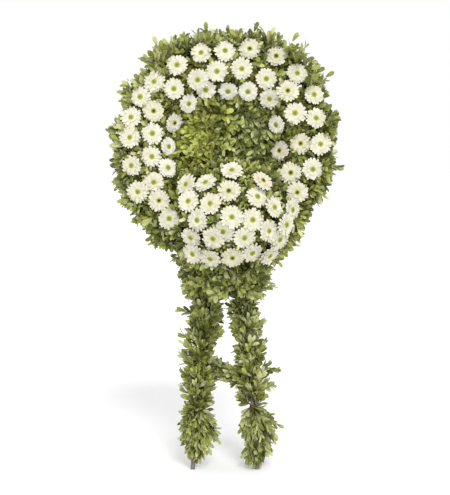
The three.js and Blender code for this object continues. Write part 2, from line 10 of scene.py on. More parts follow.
import bmesh
import bpy
import numpy as np
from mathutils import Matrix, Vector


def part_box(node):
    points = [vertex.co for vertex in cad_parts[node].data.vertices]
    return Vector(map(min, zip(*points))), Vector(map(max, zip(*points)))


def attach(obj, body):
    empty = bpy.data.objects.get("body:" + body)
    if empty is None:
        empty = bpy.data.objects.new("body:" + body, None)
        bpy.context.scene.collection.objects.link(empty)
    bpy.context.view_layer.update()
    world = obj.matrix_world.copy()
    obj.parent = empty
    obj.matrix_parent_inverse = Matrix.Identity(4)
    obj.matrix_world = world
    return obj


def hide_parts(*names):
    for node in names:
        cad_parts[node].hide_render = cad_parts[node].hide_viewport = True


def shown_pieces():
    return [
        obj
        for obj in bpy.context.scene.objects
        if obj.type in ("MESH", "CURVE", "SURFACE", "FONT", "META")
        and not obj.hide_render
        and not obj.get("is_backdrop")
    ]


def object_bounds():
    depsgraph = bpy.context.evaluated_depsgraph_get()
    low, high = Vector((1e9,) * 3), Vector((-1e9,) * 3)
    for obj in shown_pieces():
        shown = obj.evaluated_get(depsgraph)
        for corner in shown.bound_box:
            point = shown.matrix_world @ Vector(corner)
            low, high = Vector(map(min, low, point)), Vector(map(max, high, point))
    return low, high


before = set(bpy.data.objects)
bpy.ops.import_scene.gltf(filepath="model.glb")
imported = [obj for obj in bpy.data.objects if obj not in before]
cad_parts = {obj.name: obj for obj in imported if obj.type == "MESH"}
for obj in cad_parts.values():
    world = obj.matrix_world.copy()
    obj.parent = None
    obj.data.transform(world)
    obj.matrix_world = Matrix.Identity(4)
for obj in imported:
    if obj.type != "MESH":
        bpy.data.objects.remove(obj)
packed_low, packed_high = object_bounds()
print("packed model from", np.round(packed_low, 3), "to", np.round(packed_high, 3))

# %% [markdown]
# ## Face coordinates
# The wreath and its front legs lie in one plane that leans back by seven degrees. Lengths are easier to
# read in that plane, so every piece is worked out in millimetres as (across, up, out) from the ring's
# centre, and turned into metres on the floor only when its mesh is made. The hoop behind the ring has
# the ring's own centre, so its box says where that centre is.

# %% The leaning plane
LEAN = math.radians(7)
HOOP_OUT = -79.6
HOOP_RADIUS = 4.0
ACROSS = np.array([1.0, 0.0, 0.0])
UP = np.array([0.0, math.sin(LEAN), math.cos(LEAN)])
OUT = np.array([0.0, -math.cos(LEAN), math.sin(LEAN)])
PLANE = np.stack([ACROSS, UP, OUT])

hoop_low, hoop_high = (np.array(corner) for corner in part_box("ring_hoop"))
RING_CENTRE = (hoop_low + hoop_high) / 2 - OUT * HOOP_OUT / 1000


def to_world(points):
    """Face millimetres as world metres: the ring's centre, plus each part along its own direction."""
    return RING_CENTRE + np.asarray(points) @ PLANE / 1000


def height_of(points):
    """The height above the floor, in millimetres, of points in face coordinates."""
    return to_world(points)[..., 2] * 1000


print("ring centre", RING_CENTRE.round(4))

# %% [markdown]
# ## Helpers for arrays of directions
# A clock angle runs clockwise from the top of the ring, as on a clock face. All the helpers take whole
# arrays, so that a thousand leaves cost one line. The golden angle spreads leaves, sprigs and florets
# evenly, because however often it is added up, it doesn't fall on an earlier direction.


# %% Directions
FULL_TURN = 2 * np.pi
GOLDEN_DEGREES = 137.508
GOLDEN = math.radians(GOLDEN_DEGREES)
FRONT = np.array([0.0, 0.0, 1.0])
SHORTEST = 1e-9
STEEP = 0.8


def unit(vectors):
    """Vectors divided by their own lengths."""
    return vectors / np.maximum(np.linalg.norm(vectors, axis=-1, keepdims=True), SHORTEST)


def clock_point(degrees, distance, out):
    """Across = distance times the sine of the clock angle, up = distance times its cosine."""
    angle = np.radians(degrees)
    return np.stack(np.broadcast_arrays(distance * np.sin(angle), distance * np.cos(angle), out), axis=-1)


def square_to(vectors, axis):
    """The part of each vector that is square to the axis, at unit length."""
    return unit(vectors - axis * np.sum(vectors * axis, axis=-1, keepdims=True))


def swing(first, second, angle):
    """The first direction turned towards the second, which is square to it: the first times the angle's
    cosine plus the second times its sine."""
    return first * np.cos(angle)[..., None] + second * np.sin(angle)[..., None]


def clear_of(axis, otherwise):
    """A direction to measure turns from: straight out, or another one where the axis runs that way."""
    return FRONT if abs(axis[2]) < STEEP else np.array(otherwise)


def curve(start, bend, end, t):
    """A curve of three points: start x (1 - t) squared + bend x 2 t (1 - t) + end x t squared."""
    return start * (1 - t) ** 2 + bend * 2 * t * (1 - t) + end * t**2


def sunflower(count):
    """A sunflower's spiral: point i has the root of (i + 1/2) / count for its share of the reach, and is
    turned on by the golden angle from the point before it."""
    i = np.arange(count)
    return np.sqrt((i + 0.5) / count), i * GOLDEN


def between(low, high, share):
    """The low number plus a share of the way to the high one."""
    return low + (high - low) * share


def spread(low, high, shape, rng):
    """Evenly spread random numbers."""
    return between(low, high, rng.random(shape))


def varied(ranges, rng):
    """A function that draws random numbers from the range of a given name."""
    return lambda name, shape: spread(*ranges[name], shape, rng)


# %% [markdown]
# ## Parts of a mesh
# A part is a dictionary of arrays: its points, the corners of its faces, how many corners each face
# has, a place on the leaf or petal for every corner, and for every point a tone and a tint that the
# finish reads. Parts are joined end to end, and a piece is the mesh of the joined part.


# %% Join parts and make a piece
def part(points, corners, sizes, tone, place=None, tint=0.0, under=0.0, finish=0):
    """Fills in what a part leaves out."""
    count = len(points)
    return {
        "points": points,
        "corners": corners,
        "sizes": sizes,
        "place": np.zeros((len(corners), 2)) if place is None else place,
        "tone": np.broadcast_to(tone, count).astype(float),
        "tint": np.broadcast_to(tint, count).astype(float),
        "under": np.broadcast_to(under, len(sizes)).astype(float),
        "finish": np.broadcast_to(finish, len(sizes)).astype(int),
    }


def joined(parts):
    """One part from several: the corners of each are moved on by the points before it."""
    before = np.cumsum([0] + [len(p["points"]) for p in parts[:-1]])
    whole = {key: np.concatenate([p[key] for p in parts]) for key in parts[0] if key != "corners"}
    whole["corners"] = np.concatenate([p["corners"] + start for p, start in zip(parts, before)])
    return whole


def piece(name, parts, finishes, nodes, sharp=60):
    """Makes the mesh object of the joined parts, smooth except where faces meet more sharply."""
    whole = joined(parts)
    mesh = bpy.data.meshes.new(name)
    mesh.vertices.add(len(whole["points"]))
    mesh.vertices.foreach_set("co", to_world(whole["points"]).astype(np.float32).ravel())
    mesh.loops.add(len(whole["corners"]))
    mesh.loops.foreach_set("vertex_index", whole["corners"].astype(np.int32))
    mesh.polygons.add(len(whole["sizes"]))
    starts = np.concatenate([[0], np.cumsum(whole["sizes"])[:-1]])
    mesh.polygons.foreach_set("loop_start", starts.astype(np.int32))
    mesh.polygons.foreach_set("loop_total", whole["sizes"].astype(np.int32))
    mesh.polygons.foreach_set("material_index", whole["finish"].astype(np.int32))
    mesh.update(calc_edges=True)
    mesh.uv_layers.new(name="blade").data.foreach_set("uv", whole["place"].astype(np.float32).ravel())
    for key, domain in (("tone", "POINT"), ("tint", "POINT"), ("under", "FACE")):
        mesh.attributes.new(key, "FLOAT", domain).data.foreach_set("value", whole[key].astype(np.float32))
    mesh.shade_smooth()
    mesh.set_sharp_from_angle(angle=math.radians(sharp))
    made = bpy.data.objects.new(name, mesh)
    bpy.context.scene.collection.objects.link(made)
    for finish in finishes:
        mesh.materials.append(finish)
    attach(made, "root")
    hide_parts(*nodes)


# %% [markdown]
# ## A blade
# Leaves and petals are the same thing to a modeller: a thin closed blade that starts in a point, widens,
# and ends in a rounded tip. It has a top and an underside that share their edge, so it has thickness,
# and it bends along its length, cups across its width and twists. With four rows across it needs only
# 32 triangles, which is what a shape that is repeated ten thousand times can afford.

# %% The blade's corners
BLADE_ROWS = np.array([0.16, 0.42, 0.70, 0.90])


def blade_template(rows):
    """Points as (along, side, layer), and faces: the base point, four points a row, and the tip point."""
    points = [(0.0, 0, 0)]
    for row in rows:
        points += [(row, -1, 0), (row, 1, 0), (row, 0, 1), (row, 0, -1)]
    points.append((1.0, 0, 0))
    faces, under = [], []
    last = len(points) - 1
    for layer, middle in ((0, 2), (1, 3)):
        rings = [[1 + 4 * i, 1 + 4 * i + middle, 2 + 4 * i] for i in range(len(rows))]
        found = [[0, rings[0][1], rings[0][0]], [0, rings[0][2], rings[0][1]]]
        for near, far in zip(rings[:-1], rings[1:]):
            found += [[near[0], near[1], far[1], far[0]], [near[1], near[2], far[2], far[1]]]
        found += [[last, rings[-1][0], rings[-1][1]], [last, rings[-1][1], rings[-1][2]]]
        faces += [face[::-1] for face in found] if layer else found
        under += [float(layer)] * len(found)
    return np.array(points), faces, np.array(under)


BLADE_POINTS, BLADE_FACES, BLADE_UNDER = blade_template(BLADE_ROWS)
BLADE_CORNERS = np.concatenate([np.array(face) for face in BLADE_FACES])
BLADE_SIZES = np.array([len(face) for face in BLADE_FACES])
print("a blade has", int((BLADE_SIZES - 2).sum()), "triangles")

# %% Blades with their outlines
# Two powers and a root give each blade its outline: leaves are widest past the middle, petals wider
# still at the root and blunter at the tip, straws nearly even.
LEAF_OUTLINE, LEAF_THICKNESS = (0.80, 2.5, 0.66), 0.5
PETAL_OUTLINE, PETAL_THICKNESS = (0.42, 4.6, 0.55), 0.45
STRAW_OUTLINE, STRAW_THICKNESS = (0.12, 9.0, 0.5), 0.7
OUTLINE_STEPS, LEAST_BEND = 60, 1e-3


def outline(along, powers):
    """Half-width as a share of its largest: along to the first power, times (1 - along to the second)
    to the third."""
    rise, fall, root = powers
    fine = np.linspace(0, 1, OUTLINE_STEPS)
    largest = np.max(fine**rise * (1 - fine**fall) ** root)
    return along**rise * (1 - along**fall) ** root / largest


def blades(root, along, top, length, width, shape, thickness, bend, cup, tone, twist=0.0, tint=0.0):
    """A blade for each root. Its middle line is an arc that turns away from its top by "bend" radians:
    along it by length x sin(bend u) / bend, below it by length x (1 - cos(bend u)) / bend. Its edges
    stand out by the outline, rise by "cup" times that, and turn about the middle line by "twist" u."""
    count = len(root)
    length, width, bend, cup, twist, tone, tint = (
        (value * np.ones(count))[:, None] for value in (length, width, bend, cup, twist, tone, tint)
    )
    bend = np.where(np.abs(bend) < LEAST_BEND, LEAST_BEND, bend)
    u, side, layer = BLADE_POINTS.T[:, None, :]
    top = square_to(top, along)
    turn = bend * u
    roll = twist * u
    line = (root[:, None] + along[:, None] * (length * np.sin(turn) / bend)[..., None]
            - top[:, None] * (length * (1 - np.cos(turn)) / bend)[..., None])
    normal = swing(top[:, None], along[:, None], turn)
    aside = np.cross(along, top)[:, None]
    edge, face = swing(aside, normal, roll), swing(normal, -aside, roll)
    half = width / 2 * outline(u, shape)
    points = line + edge * (side * half)[..., None]
    points = points + face * (cup * np.abs(side) * half + layer * thickness / 2)[..., None]
    step = len(BLADE_POINTS)
    place = np.stack([BLADE_POINTS[BLADE_CORNERS, 1] / 2 + 0.5, BLADE_POINTS[BLADE_CORNERS, 0]], axis=-1)
    return part(
        points.reshape(-1, 3),
        (BLADE_CORNERS[None] + step * np.arange(count)[:, None]).ravel(),
        np.tile(BLADE_SIZES, count),
        place=np.tile(place, (count, 1)),
        tone=np.repeat(tone, step, axis=1).ravel(),
        tint=np.repeat(tint, step, axis=1).ravel(),
        under=np.tile(BLADE_UNDER, count),
    )


# %% [markdown]
# ## Tubes and rings
# Twigs, stems, steel tubes, foot caps, picks and flower centres are all the same surface: a round
# section carried along a path, with a radius at each step and both ends closed. A ring is a grid that
# closes on itself both ways.


# %% Carry a round section along paths
def tube_faces(steps, sides):
    """The corners and sizes of a tube's faces: four corners between one ring of points and the next,
    then a fan at each end round a middle point, both of which follow the rings."""
    i, j = np.meshgrid(np.arange(steps - 1), np.arange(sides), indexing="ij")
    k = (j + 1) % sides
    quads = np.stack([i * sides + j, (i + 1) * sides + j, (i + 1) * sides + k, i * sides + k], axis=-1)
    near, far = np.arange(sides), (np.arange(sides) + 1) % sides
    first, last = np.full(sides, steps * sides), np.full(sides, steps * sides + 1)
    end_ring = (steps - 1) * sides
    start = np.stack([first, near, far], axis=-1)
    end = np.stack([last, end_ring + far, end_ring + near], axis=-1)
    return (np.concatenate([quads.ravel(), start.ravel(), end.ravel()]),
            np.repeat([4, 3], [end_ring, 2 * sides]))


def tubes(paths, radii, sides, guide, tone=0.5, tint=0.0, finish=0):
    """A tube for each path: path + radius x (cos a x side + sin a x front), where the side is square to
    the path and the guide direction. Each end is closed by a fan round its own middle point."""
    paths = np.asarray(paths, dtype=float)
    count, steps = paths.shape[:2]
    radii = np.broadcast_to(radii, (count, steps))
    tangent = unit(np.gradient(paths, axis=1))
    side = unit(np.cross(tangent, np.broadcast_to(guide, (count, 3))[:, None]))
    front = np.cross(side, tangent)
    ring = swing(side[:, :, None], front[:, :, None], FULL_TURN * np.arange(sides) / sides)
    ring = paths[:, :, None] + ring * radii[:, :, None, None]
    points = np.concatenate([ring.reshape(count, -1, 3), paths[:, :1], paths[:, -1:]], axis=1)
    corners, sizes = tube_faces(steps, sides)
    per_path = points.shape[1]
    tone, tint = (np.repeat(np.broadcast_to(value, count), per_path) for value in (tone, tint))
    return part(
        points.reshape(-1, 3),
        (corners[None] + per_path * np.arange(count)[:, None]).ravel(),
        np.tile(sizes, count),
        tone=tone,
        tint=tint,
        finish=finish,
    )


def turned(profile, centre, axis, sides, tone=0.5):
    """A profile of [radius, distance along the axis] rows turned about the axis."""
    profile = np.asarray(profile, dtype=float)
    path = centre + profile[:, 1:] * axis
    aside = unit(np.cross(axis, clear_of(axis, [0.0, 1.0, 0.0])))
    around = swing(aside, np.cross(aside, axis), FULL_TURN * np.arange(sides) / sides)
    ring = path[:, None] + around * profile[:, :1, None]
    points = np.concatenate([ring.reshape(-1, 3), path[:1], path[-1:]])
    return part(points, *tube_faces(len(profile), sides), tone=tone)


def closed_grid(points, tone=0.5):
    """A grid of points that joins up with itself both ways, such as a ring."""
    rows, columns = points.shape[:2]
    i, j = np.meshgrid(np.arange(rows), np.arange(columns), indexing="ij")
    k, m = (i + 1) % rows, (j + 1) % columns
    quads = np.stack([i * columns + j, k * columns + j, k * columns + m, i * columns + m], axis=-1)
    return part(points.reshape(-1, 3), quads.ravel(), np.full(rows * columns, 4), tone=tone)


# %% [markdown]
# ## Writing a finish as sums
# A finish is a graph of nodes. A small class wraps one socket, so that an expression such as
# `1 - mask * 0.4` adds the Math nodes by itself. Any other node comes from `add`, which takes the
# node's type, its settings and what goes into its sockets.


# %% Sockets that can be added and multiplied
class Flow:
    """One number, colour or vector that flows out of a node."""

    def __init__(self, recipe, socket):
        self.recipe = recipe
        self.socket = socket

    def math(self, operation, first, second=0.0, clamp=False):
        return self.recipe.add("ShaderNodeMath", {"operation": operation, "use_clamp": clamp},
                               {0: first, 1: second})

    def __add__(self, other):
        return self.math("ADD", self, other)

    def __radd__(self, other):
        return self.math("ADD", other, self)

    def __sub__(self, other):
        return self.math("SUBTRACT", self, other)

    def __rsub__(self, other):
        return self.math("SUBTRACT", other, self)

    def __mul__(self, other):
        return self.math("MULTIPLY", self, other)

    def __rmul__(self, other):
        return self.math("MULTIPLY", other, self)

    def __abs__(self):
        return self.math("ABSOLUTE", self)

    def sine(self):
        return self.math("SINE", self)

    def clamped(self):
        return self.math("ADD", self, 0.0, clamp=True)


# %% A material made node by node
class Recipe:
    """A material whose nodes are added one by one, round one Principled shader."""

    def __init__(self, name, **constants):
        self.material = bpy.data.materials.new(name)
        self.material.use_nodes = True
        self.tree = self.material.node_tree
        self.tree.nodes.clear()
        output = self.tree.nodes.new("ShaderNodeOutputMaterial")
        self.shader = self.tree.nodes.new("ShaderNodeBsdfPrincipled")
        self.tree.links.new(self.shader.outputs[0], output.inputs["Surface"])
        for key, value in constants.items():
            self.shader.inputs[key.replace("_", " ")].default_value = value

    def put(self, socket, value):
        """Links a flow into a socket, or sets the socket's own value."""
        if isinstance(value, Flow):
            self.tree.links.new(value.socket, socket)
        else:
            socket.default_value = value

    def add(self, kind, settings=None, inputs=None, output=0):
        """A node of any type: its settings first, then its sockets by name, identifier or number."""
        node = self.tree.nodes.new(kind)
        for key, value in (settings or {}).items():
            if key == "stops":
                while len(node.color_ramp.elements) < len(value):
                    node.color_ramp.elements.new(1.0)
                for element, (place, colour) in zip(node.color_ramp.elements, value):
                    element.position = place
                    element.color = colour
            else:
                setattr(node, key, value)
        by_identifier = {socket.identifier: socket for socket in node.inputs}
        for key, value in (inputs or {}).items():
            self.put(by_identifier[key] if key in by_identifier else node.inputs[key], value)
        outputs = {socket.identifier: socket for socket in node.outputs}
        return Flow(self, outputs[output] if output in outputs else node.outputs[output])

    def mix(self, share, first, second):
        """A colour between two, by a share from 0 to 1."""
        return self.add("ShaderNodeMix", {"data_type": "RGBA", "clamp_factor": True},
                        {"Factor_Float": share, "A_Color": first, "B_Color": second}, "Result_Color")

    def number(self, name):
        """A number that the mesh carries."""
        return self.add("ShaderNodeAttribute", {"attribute_name": name}, output="Fac")

    def on_blade(self):
        """The place on a leaf or petal, across it and along it, each from 0 to 1."""
        place = self.add("ShaderNodeUVMap", {"uv_map": "blade"})
        return [self.add("ShaderNodeSeparateXYZ", None, {"Vector": place}, way) for way in ("X", "Y")]

    def on_object(self, stretch=(1.0, 1.0, 1.0)):
        """The point of the object, in metres, stretched along its axes."""
        point = self.add("ShaderNodeTexCoord", output="Object")
        return self.add("ShaderNodeVectorMath", {"operation": "MULTIPLY"}, {0: point, 1: stretch})

    def noise(self, point, scale, detail, roughness=0.5):
        """Soft noise between 0 and 1, whose patches measure about one over the scale."""
        return self.add("ShaderNodeTexNoise", None,
                        {"Vector": point, "Scale": scale, "Detail": detail, "Roughness": roughness}, "Fac")

    def ramp(self, level, stops):
        """A colour read off a row of stops, each a place from 0 to 1 and its colour."""
        return self.add("ShaderNodeValToRGB", {"stops": stops}, {"Fac": level}, "Color")

    def done(self, colour, roughness, relief=None, depth=0.0003, strength=0.5):
        """Links the colour, the roughness and the relief, and hands back the material."""
        self.put(self.shader.inputs["Base Color"], colour)
        self.put(self.shader.inputs["Roughness"], roughness)
        if relief is not None:
            sockets = {"Strength": strength, "Distance": depth, "Height": relief}
            self.put(self.shader.inputs["Normal"], self.add("ShaderNodeBump", None, sockets))
        return self.material


# %% Colours
def paint(red, green, blue):
    """A colour in screen values from 0 to 255, as the linear values that nodes use."""
    screen = np.array([red, green, blue]) / 255
    linear = np.where(screen < 0.04045, screen / 12.92, ((screen + 0.055) / 1.055) ** 2.4)
    return (*linear.tolist(), 1.0)


# %% [markdown]
# ## The leaves' finish
# The leaves are small, thick and softly glossy, olive green on top with a pale rib down the middle and faint
# side veins, and dull and greyer underneath. No two are the same green: each leaf carries a tone, from
# shaded old leaf to sunlit one, and a tint that says how young and yellow it is. Two patches of other
# foliage, lime on the left of the centre and bluish on its right, are the same recipe in other greens.


# %% Leaf finishes
RIB_SHARPNESS, VEIN_TURN, VEIN_SLANT = 9, 62, 9


def leaf_finish(name, shades, young, rib, below):
    """Colour by tone, youth, veins, painted shade at the base and the underside; relief from the veins."""
    recipe = Recipe(name, Specular_IOR_Level=0.18)
    across, along = recipe.on_blade()
    aside = abs(across - 0.5) * 2
    tone = recipe.number("tone")
    under = recipe.number("under")
    point = recipe.on_object()
    mottle = recipe.noise(point, 160.0, 3.0)
    blotch = recipe.noise(point, 38.0, 2.0)
    level = (tone + (mottle - 0.5) * 0.22 + (blotch - 0.5) * 0.2).clamped()
    green = recipe.ramp(level, [(i / (len(shades) - 1), shade) for i, shade in enumerate(shades)])
    green = recipe.mix(recipe.number("tint") * 0.8, green, young)
    middle = (1 - aside * RIB_SHARPNESS).clamped()
    veins = ((along * VEIN_TURN - aside * VEIN_SLANT).sine() * 0.5 + 0.5) * (1 - aside)
    green = recipe.mix(middle * 0.55 + veins * 0.1, green, rib)
    # Painted shade: each leaf darkens towards its base, where it sits in the shade of its sprig.
    green = recipe.mix((1 - along * 2.4).clamped() * 0.6, green, shades[0])
    green = recipe.mix(under * 0.65, green, below)
    roughness = 0.30 + mottle * 0.16 + under * 0.24
    relief = veins * 0.5 - middle + mottle * 0.4
    return recipe.done(green, roughness, relief, strength=0.45)


LEAF = leaf_finish(
    "evergreen_leaf",
    [paint(54, 60, 5), paint(103, 110, 30), paint(145, 151, 66), paint(178, 182, 116), paint(201, 204, 166)],
    young=paint(174, 182, 94), rib=paint(196, 201, 144), below=paint(158, 162, 116),
)
LIME_LEAF = leaf_finish(
    "lime_leaf",
    [paint(60, 62, 6), paint(121, 125, 38), paint(162, 167, 70), paint(188, 193, 104), paint(206, 210, 148)],
    young=paint(188, 196, 92), rib=paint(194, 200, 128), below=paint(156, 161, 100),
)
BLUE_LEAF = leaf_finish(
    "blue_green_leaf",
    [paint(54, 61, 6), paint(100, 108, 36), paint(138, 146, 72), paint(169, 175, 114), paint(193, 198, 154)],
    young=paint(164, 176, 84), rib=paint(180, 189, 124), below=paint(146, 155, 104),
)

# %% [markdown]
# ## Twigs, petals and flower centres
# Twigs are greenish brown with lengthwise streaks. Petals are warm white, a little yellow-green where
# they leave the flower's centre, with fine ribs from root to tip. The centre is a button of tiny
# florets, lime at its edge and greener in the middle; some flowers have a dark eye instead.


# %% Finishes of twigs and flowers
PETAL_RIB_TURN = 44


def twig_finish():
    """Streaks that follow the height, between brown and green."""
    recipe = Recipe("twig_bark", Specular_IOR_Level=0.3)
    grain = recipe.noise(recipe.on_object((1.0, 1.0, 0.25)), 420.0, 3.0)
    patch = recipe.noise(recipe.on_object(), 30.0, 2.0)
    colour = recipe.mix((patch * 1.6 - 0.3).clamped(), paint(96, 88, 48), paint(122, 104, 70))
    colour = recipe.mix(grain * 0.5, colour, paint(70, 66, 34))
    return recipe.done(colour, 0.55 + grain * 0.25, grain, depth=0.0004)


def petal_finish():
    """Tone runs from cream to white, with painted light on the inner row; the tint adds blush, and the root
    is yellow-green.
    """
    recipe = Recipe("white_petal", Specular_IOR_Level=0.35)
    across, along = recipe.on_blade()
    ribs = (across * PETAL_RIB_TURN).sine() * 0.5 + 0.5
    cloud = recipe.noise(recipe.on_object(), 120.0, 3.0)
    level = (recipe.number("tone") + (cloud - 0.5) * 0.15).clamped()
    white = recipe.mix(level, paint(184, 181, 148), paint(228, 227, 213))
    white = recipe.mix(recipe.number("tint"), white, paint(226, 202, 182))
    white = recipe.mix(ribs * 0.14, white, paint(190, 190, 158))
    root = (1 - along * 2.1).clamped()
    white = recipe.mix(root * 0.9, white, paint(198, 204, 112))
    return recipe.done(white, 0.5 + cloud * 0.2, ribs + cloud * 0.4, depth=0.00025, strength=0.5)


def eye_finish():
    """The tone of each floret says how far it is from the middle, the tint how dark the eye is."""
    recipe = Recipe("flower_centre", Specular_IOR_Level=0.3)
    tone = recipe.number("tone")
    grain = recipe.noise(recipe.on_object(), 900.0, 2.0)
    lime = recipe.ramp(tone, [(0.0, paint(108, 114, 36)), (0.45, paint(138, 143, 60)),
                              (0.8, paint(168, 172, 88)), (1.0, paint(194, 196, 124))])
    dark = recipe.ramp(tone, [(0.0, paint(26, 24, 4)), (0.34, paint(52, 48, 14)),
                              (0.62, paint(142, 142, 64)), (1.0, paint(204, 204, 126))])
    colour = recipe.mix(recipe.number("tint"), lime, dark)
    colour = recipe.mix(grain * 0.16, colour, paint(120, 126, 50))
    return recipe.done(colour, 0.65 + grain * 0.2, grain)


def stem_finish():
    """Smooth green with fine lengthwise streaks and a few reddish patches."""
    recipe = Recipe("flower_stem", Specular_IOR_Level=0.4)
    streak = recipe.noise(recipe.on_object((1.0, 0.3, 1.0)), 500.0, 2.0)
    patch = recipe.noise(recipe.on_object(), 40.0, 2.0)
    colour = recipe.mix(streak, paint(104, 126, 52), paint(142, 158, 84))
    colour = recipe.mix((patch * 2 - 1).clamped() * 0.5, colour, paint(134, 108, 66))
    return recipe.done(colour, 0.45 + streak * 0.2, streak)


TWIG = twig_finish()
PETAL = petal_finish()
EYE = eye_finish()
STEM = stem_finish()
print("plant finishes:", [m.name for m in (LEAF, LIME_LEAF, BLUE_LEAF, TWIG, PETAL, EYE, STEM)])

# %% [markdown]
# ## Where the flowers sit
# The florist wires the gerberas in groups of two to four to one pick and pushes it into the straw. A
# ring flower is placed by its clock angle and its distance from the centre, and sits on a shallow
# rounded surface over the straw. A bouquet flower is placed by its offset, and sits on a dome that
# stands well out. Both surfaces also say which way the flower looks. The flowers of the ring's inner row
# are a little smaller than the others and look more towards the recess, apart from one that blushes.

# %% Layout of the heads
RING_CREST, RING_CROWN = 325, 112
RING_INNER_BEND, RING_OUTER_BEND = 0.0068, 0.0033
DOME_MIDDLE, DOME_HALF = np.array([35.0, -275.0]), np.array([215.0, 200.0])
DOME_BASE, DOME_RISE, DOME_REACH, DOME_TILT = 60, 170, 1.25, 45

RING_GROUPS = [
    [(0, 384), (-14, 388), (-6, 303)],
    [(-30, 378), (-22, 291), (-18, 243)],
    [(-47, 384), (-41, 308), (-39, 230)],
    [(-59, 391), (-63, 316), (-72, 391)],
    [(-63, 227), (-79, 292), (-88, 227)],
    [(-84, 377), (-101, 375), (-97, 291)],
    [(-109, 243), (-116, 312), (-117, 384)],
    [(-129, 334), (-142, 356)],
    [(3, 228), (12, 318), (22, 245)],
    [(14, 406), (29, 418), (31, 317)],
    [(42, 263), (48, 333), (44, 412)],
    [(59, 411), (64, 308), (72, 378)],
    [(65, 226), (87, 299), (92, 219)],
    [(88, 376), (104, 356)],
    [(111, 280), (122, 336)],
]
BOUQUET_GROUPS = [
    [(-153, -148), (-141, -218), (-105, -292)],
    [(-75, -146), (-61, -224), (15, -180)],
    [(27, -88), (147, -132), (127, -200)],
    [(-141, -364), (-53, -368), (-129, -424)],
    [(-7, -320), (27, -262), (77, -350)],
    [(111, -280), (195, -240), (266, -248)],
    [(233, -308), (169, -334), (211, -384)],
    [(-57, -444), (29, -444), (107, -428), (187, -440)],
]
DARK_EYES = {(-63, 316), (-63, 227), (14, 406), (29, 418), (48, 333), (87, 299), (92, 219), (111, 280),
             (122, 336), (-129, 334), (15, -180), (147, -132), (29, -444)}
BLUSHING = {(92, 219), (147, -132)}
RING_SIZE, BOUQUET_SIZE = 0.96, 1.0
INNER_ROW, INNER_WIDTH, INNER_SMALLER, BLUSH_SPARED = 265, 35, 0.13, 0.7
NUDGES = {
    # heads that their wires hold a little off their planned place: across, up
    (27, -88): (0, -10), (147, -132): (-2, -10), (-61, -224): (6, -6), (195, -240): (-8, -3),
    (27, -262): (0, -20), (111, -280): (-6, -12), (-7, -320): (0, -18), (77, -350): (-3, -10),
    (211, -384): (5, 16), (-53, -368): (9, 6), (-141, -364): (9, 6), (-57, -444): (2, 8),
    (29, -444): (0, 8), (107, -428): (-1, 8), (187, -440): (-13, 12),
}

print(len(RING_GROUPS), "groups on the ring,", len(BOUQUET_GROUPS), "on the bouquet")


# %% Surfaces under the heads, and the heads
def ring_surface(distance):
    """Height out of the plane: the crown less a bend times the squared step from the crest."""
    step = distance - RING_CREST
    return RING_CROWN - np.where(step < 0, RING_INNER_BEND, RING_OUTER_BEND) * step**2


def ring_facing(degrees, distance):
    """Square to that surface."""
    step = distance - RING_CREST
    tilt = np.arctan(2 * np.where(step < 0, RING_INNER_BEND, RING_OUTER_BEND) * step)
    return clock_point(degrees, np.sin(tilt), np.cos(tilt))


def dome_aside(across, up):
    """The offset from the dome's middle, in shares of its half-width and half-height."""
    return (np.stack([across, up], axis=-1) - DOME_MIDDLE) / DOME_HALF


def dome_surface(across, up):
    """Height out of the plane: the base plus the rise times the root of 1 - (reach / 1.25) squared."""
    reach = np.linalg.norm(dome_aside(across, up), axis=-1)
    return DOME_BASE + DOME_RISE * np.sqrt(np.maximum(1 - (reach / DOME_REACH) ** 2, 0.0))


def dome_facing(across, up):
    """Turned aside by 45 degrees for each full reach from the middle."""
    aside = dome_aside(across, up)
    reach = np.linalg.norm(aside, axis=-1)
    tilt = np.radians(DOME_TILT * reach)
    flat = unit(aside) * np.sin(tilt)[..., None]
    return np.concatenate([flat, np.cos(tilt)[..., None]], axis=-1)


def heads_of(groups, is_ring):
    """The planned and the true middle, the facing, the size and the kind of every head, group by group.
    "inner" grows from 0 to 1 over the inner width within the inner row's distance."""
    keys = [key for group in groups for key in group]
    first, second = np.array(keys, dtype=float).T
    blush = np.array([key in BLUSHING for key in keys], dtype=float)
    if is_ring:
        planned, facing = clock_point(first, second, ring_surface(second)), ring_facing(first, second)
        centre = planned
        inner = np.clip((INNER_ROW - second) / INNER_WIDTH, 0, 1) * (1 - BLUSH_SPARED * blush)
        size = RING_SIZE - INNER_SMALLER * inner
    else:
        across, up = np.array([NUDGES.get(key, (0, 0)) for key in keys], dtype=float).T
        planned = np.stack([first, second, dome_surface(first, second)], axis=-1)
        centre = np.stack([first + across, second + up, dome_surface(first + across, second + up)], axis=-1)
        facing = dome_facing(first, second)
        inner = np.zeros(len(keys))
        size = np.full(len(keys), BOUQUET_SIZE)
    return {
        "planned": planned,
        "centre": centre,
        "size": size,
        "inner": inner,
        "facing": facing,
        "dark": np.array([key in DARK_EYES for key in keys], dtype=float),
        "blush": blush,
        "group": np.repeat(np.arange(len(groups)), [len(group) for group in groups]),
    }


ring_heads = heads_of(RING_GROUPS, True)
bouquet_heads = heads_of(BOUQUET_GROUPS, False)
print(len(ring_heads["centre"]), "heads on the ring,", len(bouquet_heads["centre"]), "on the bouquet")

# %% [markdown]
# ## Room between the heads
# Heads that grow closer together than they are wide would cut through each other. A florist slides one
# over the other, so each close pair is parted along the direction that it looks in. The heads that sit
# on the slopes of the ring are turned back towards the people who come to see them, the deepest are
# lifted a little, and every head nods by a small seeded amount, because none sits perfectly square.

# %% Part the close heads
HEAD_RADIUS, PARTING, PARTING_FADE = 45.0, 6.5, 25
FORWARD, INNER_SIDEWAYS = 0.6, 0.4
DEEP_LIFT, DEEP_BELOW = 42, 90
NOD, NOD_SIGMAS = math.radians(7), 1.5
rng = np.random.default_rng(41)


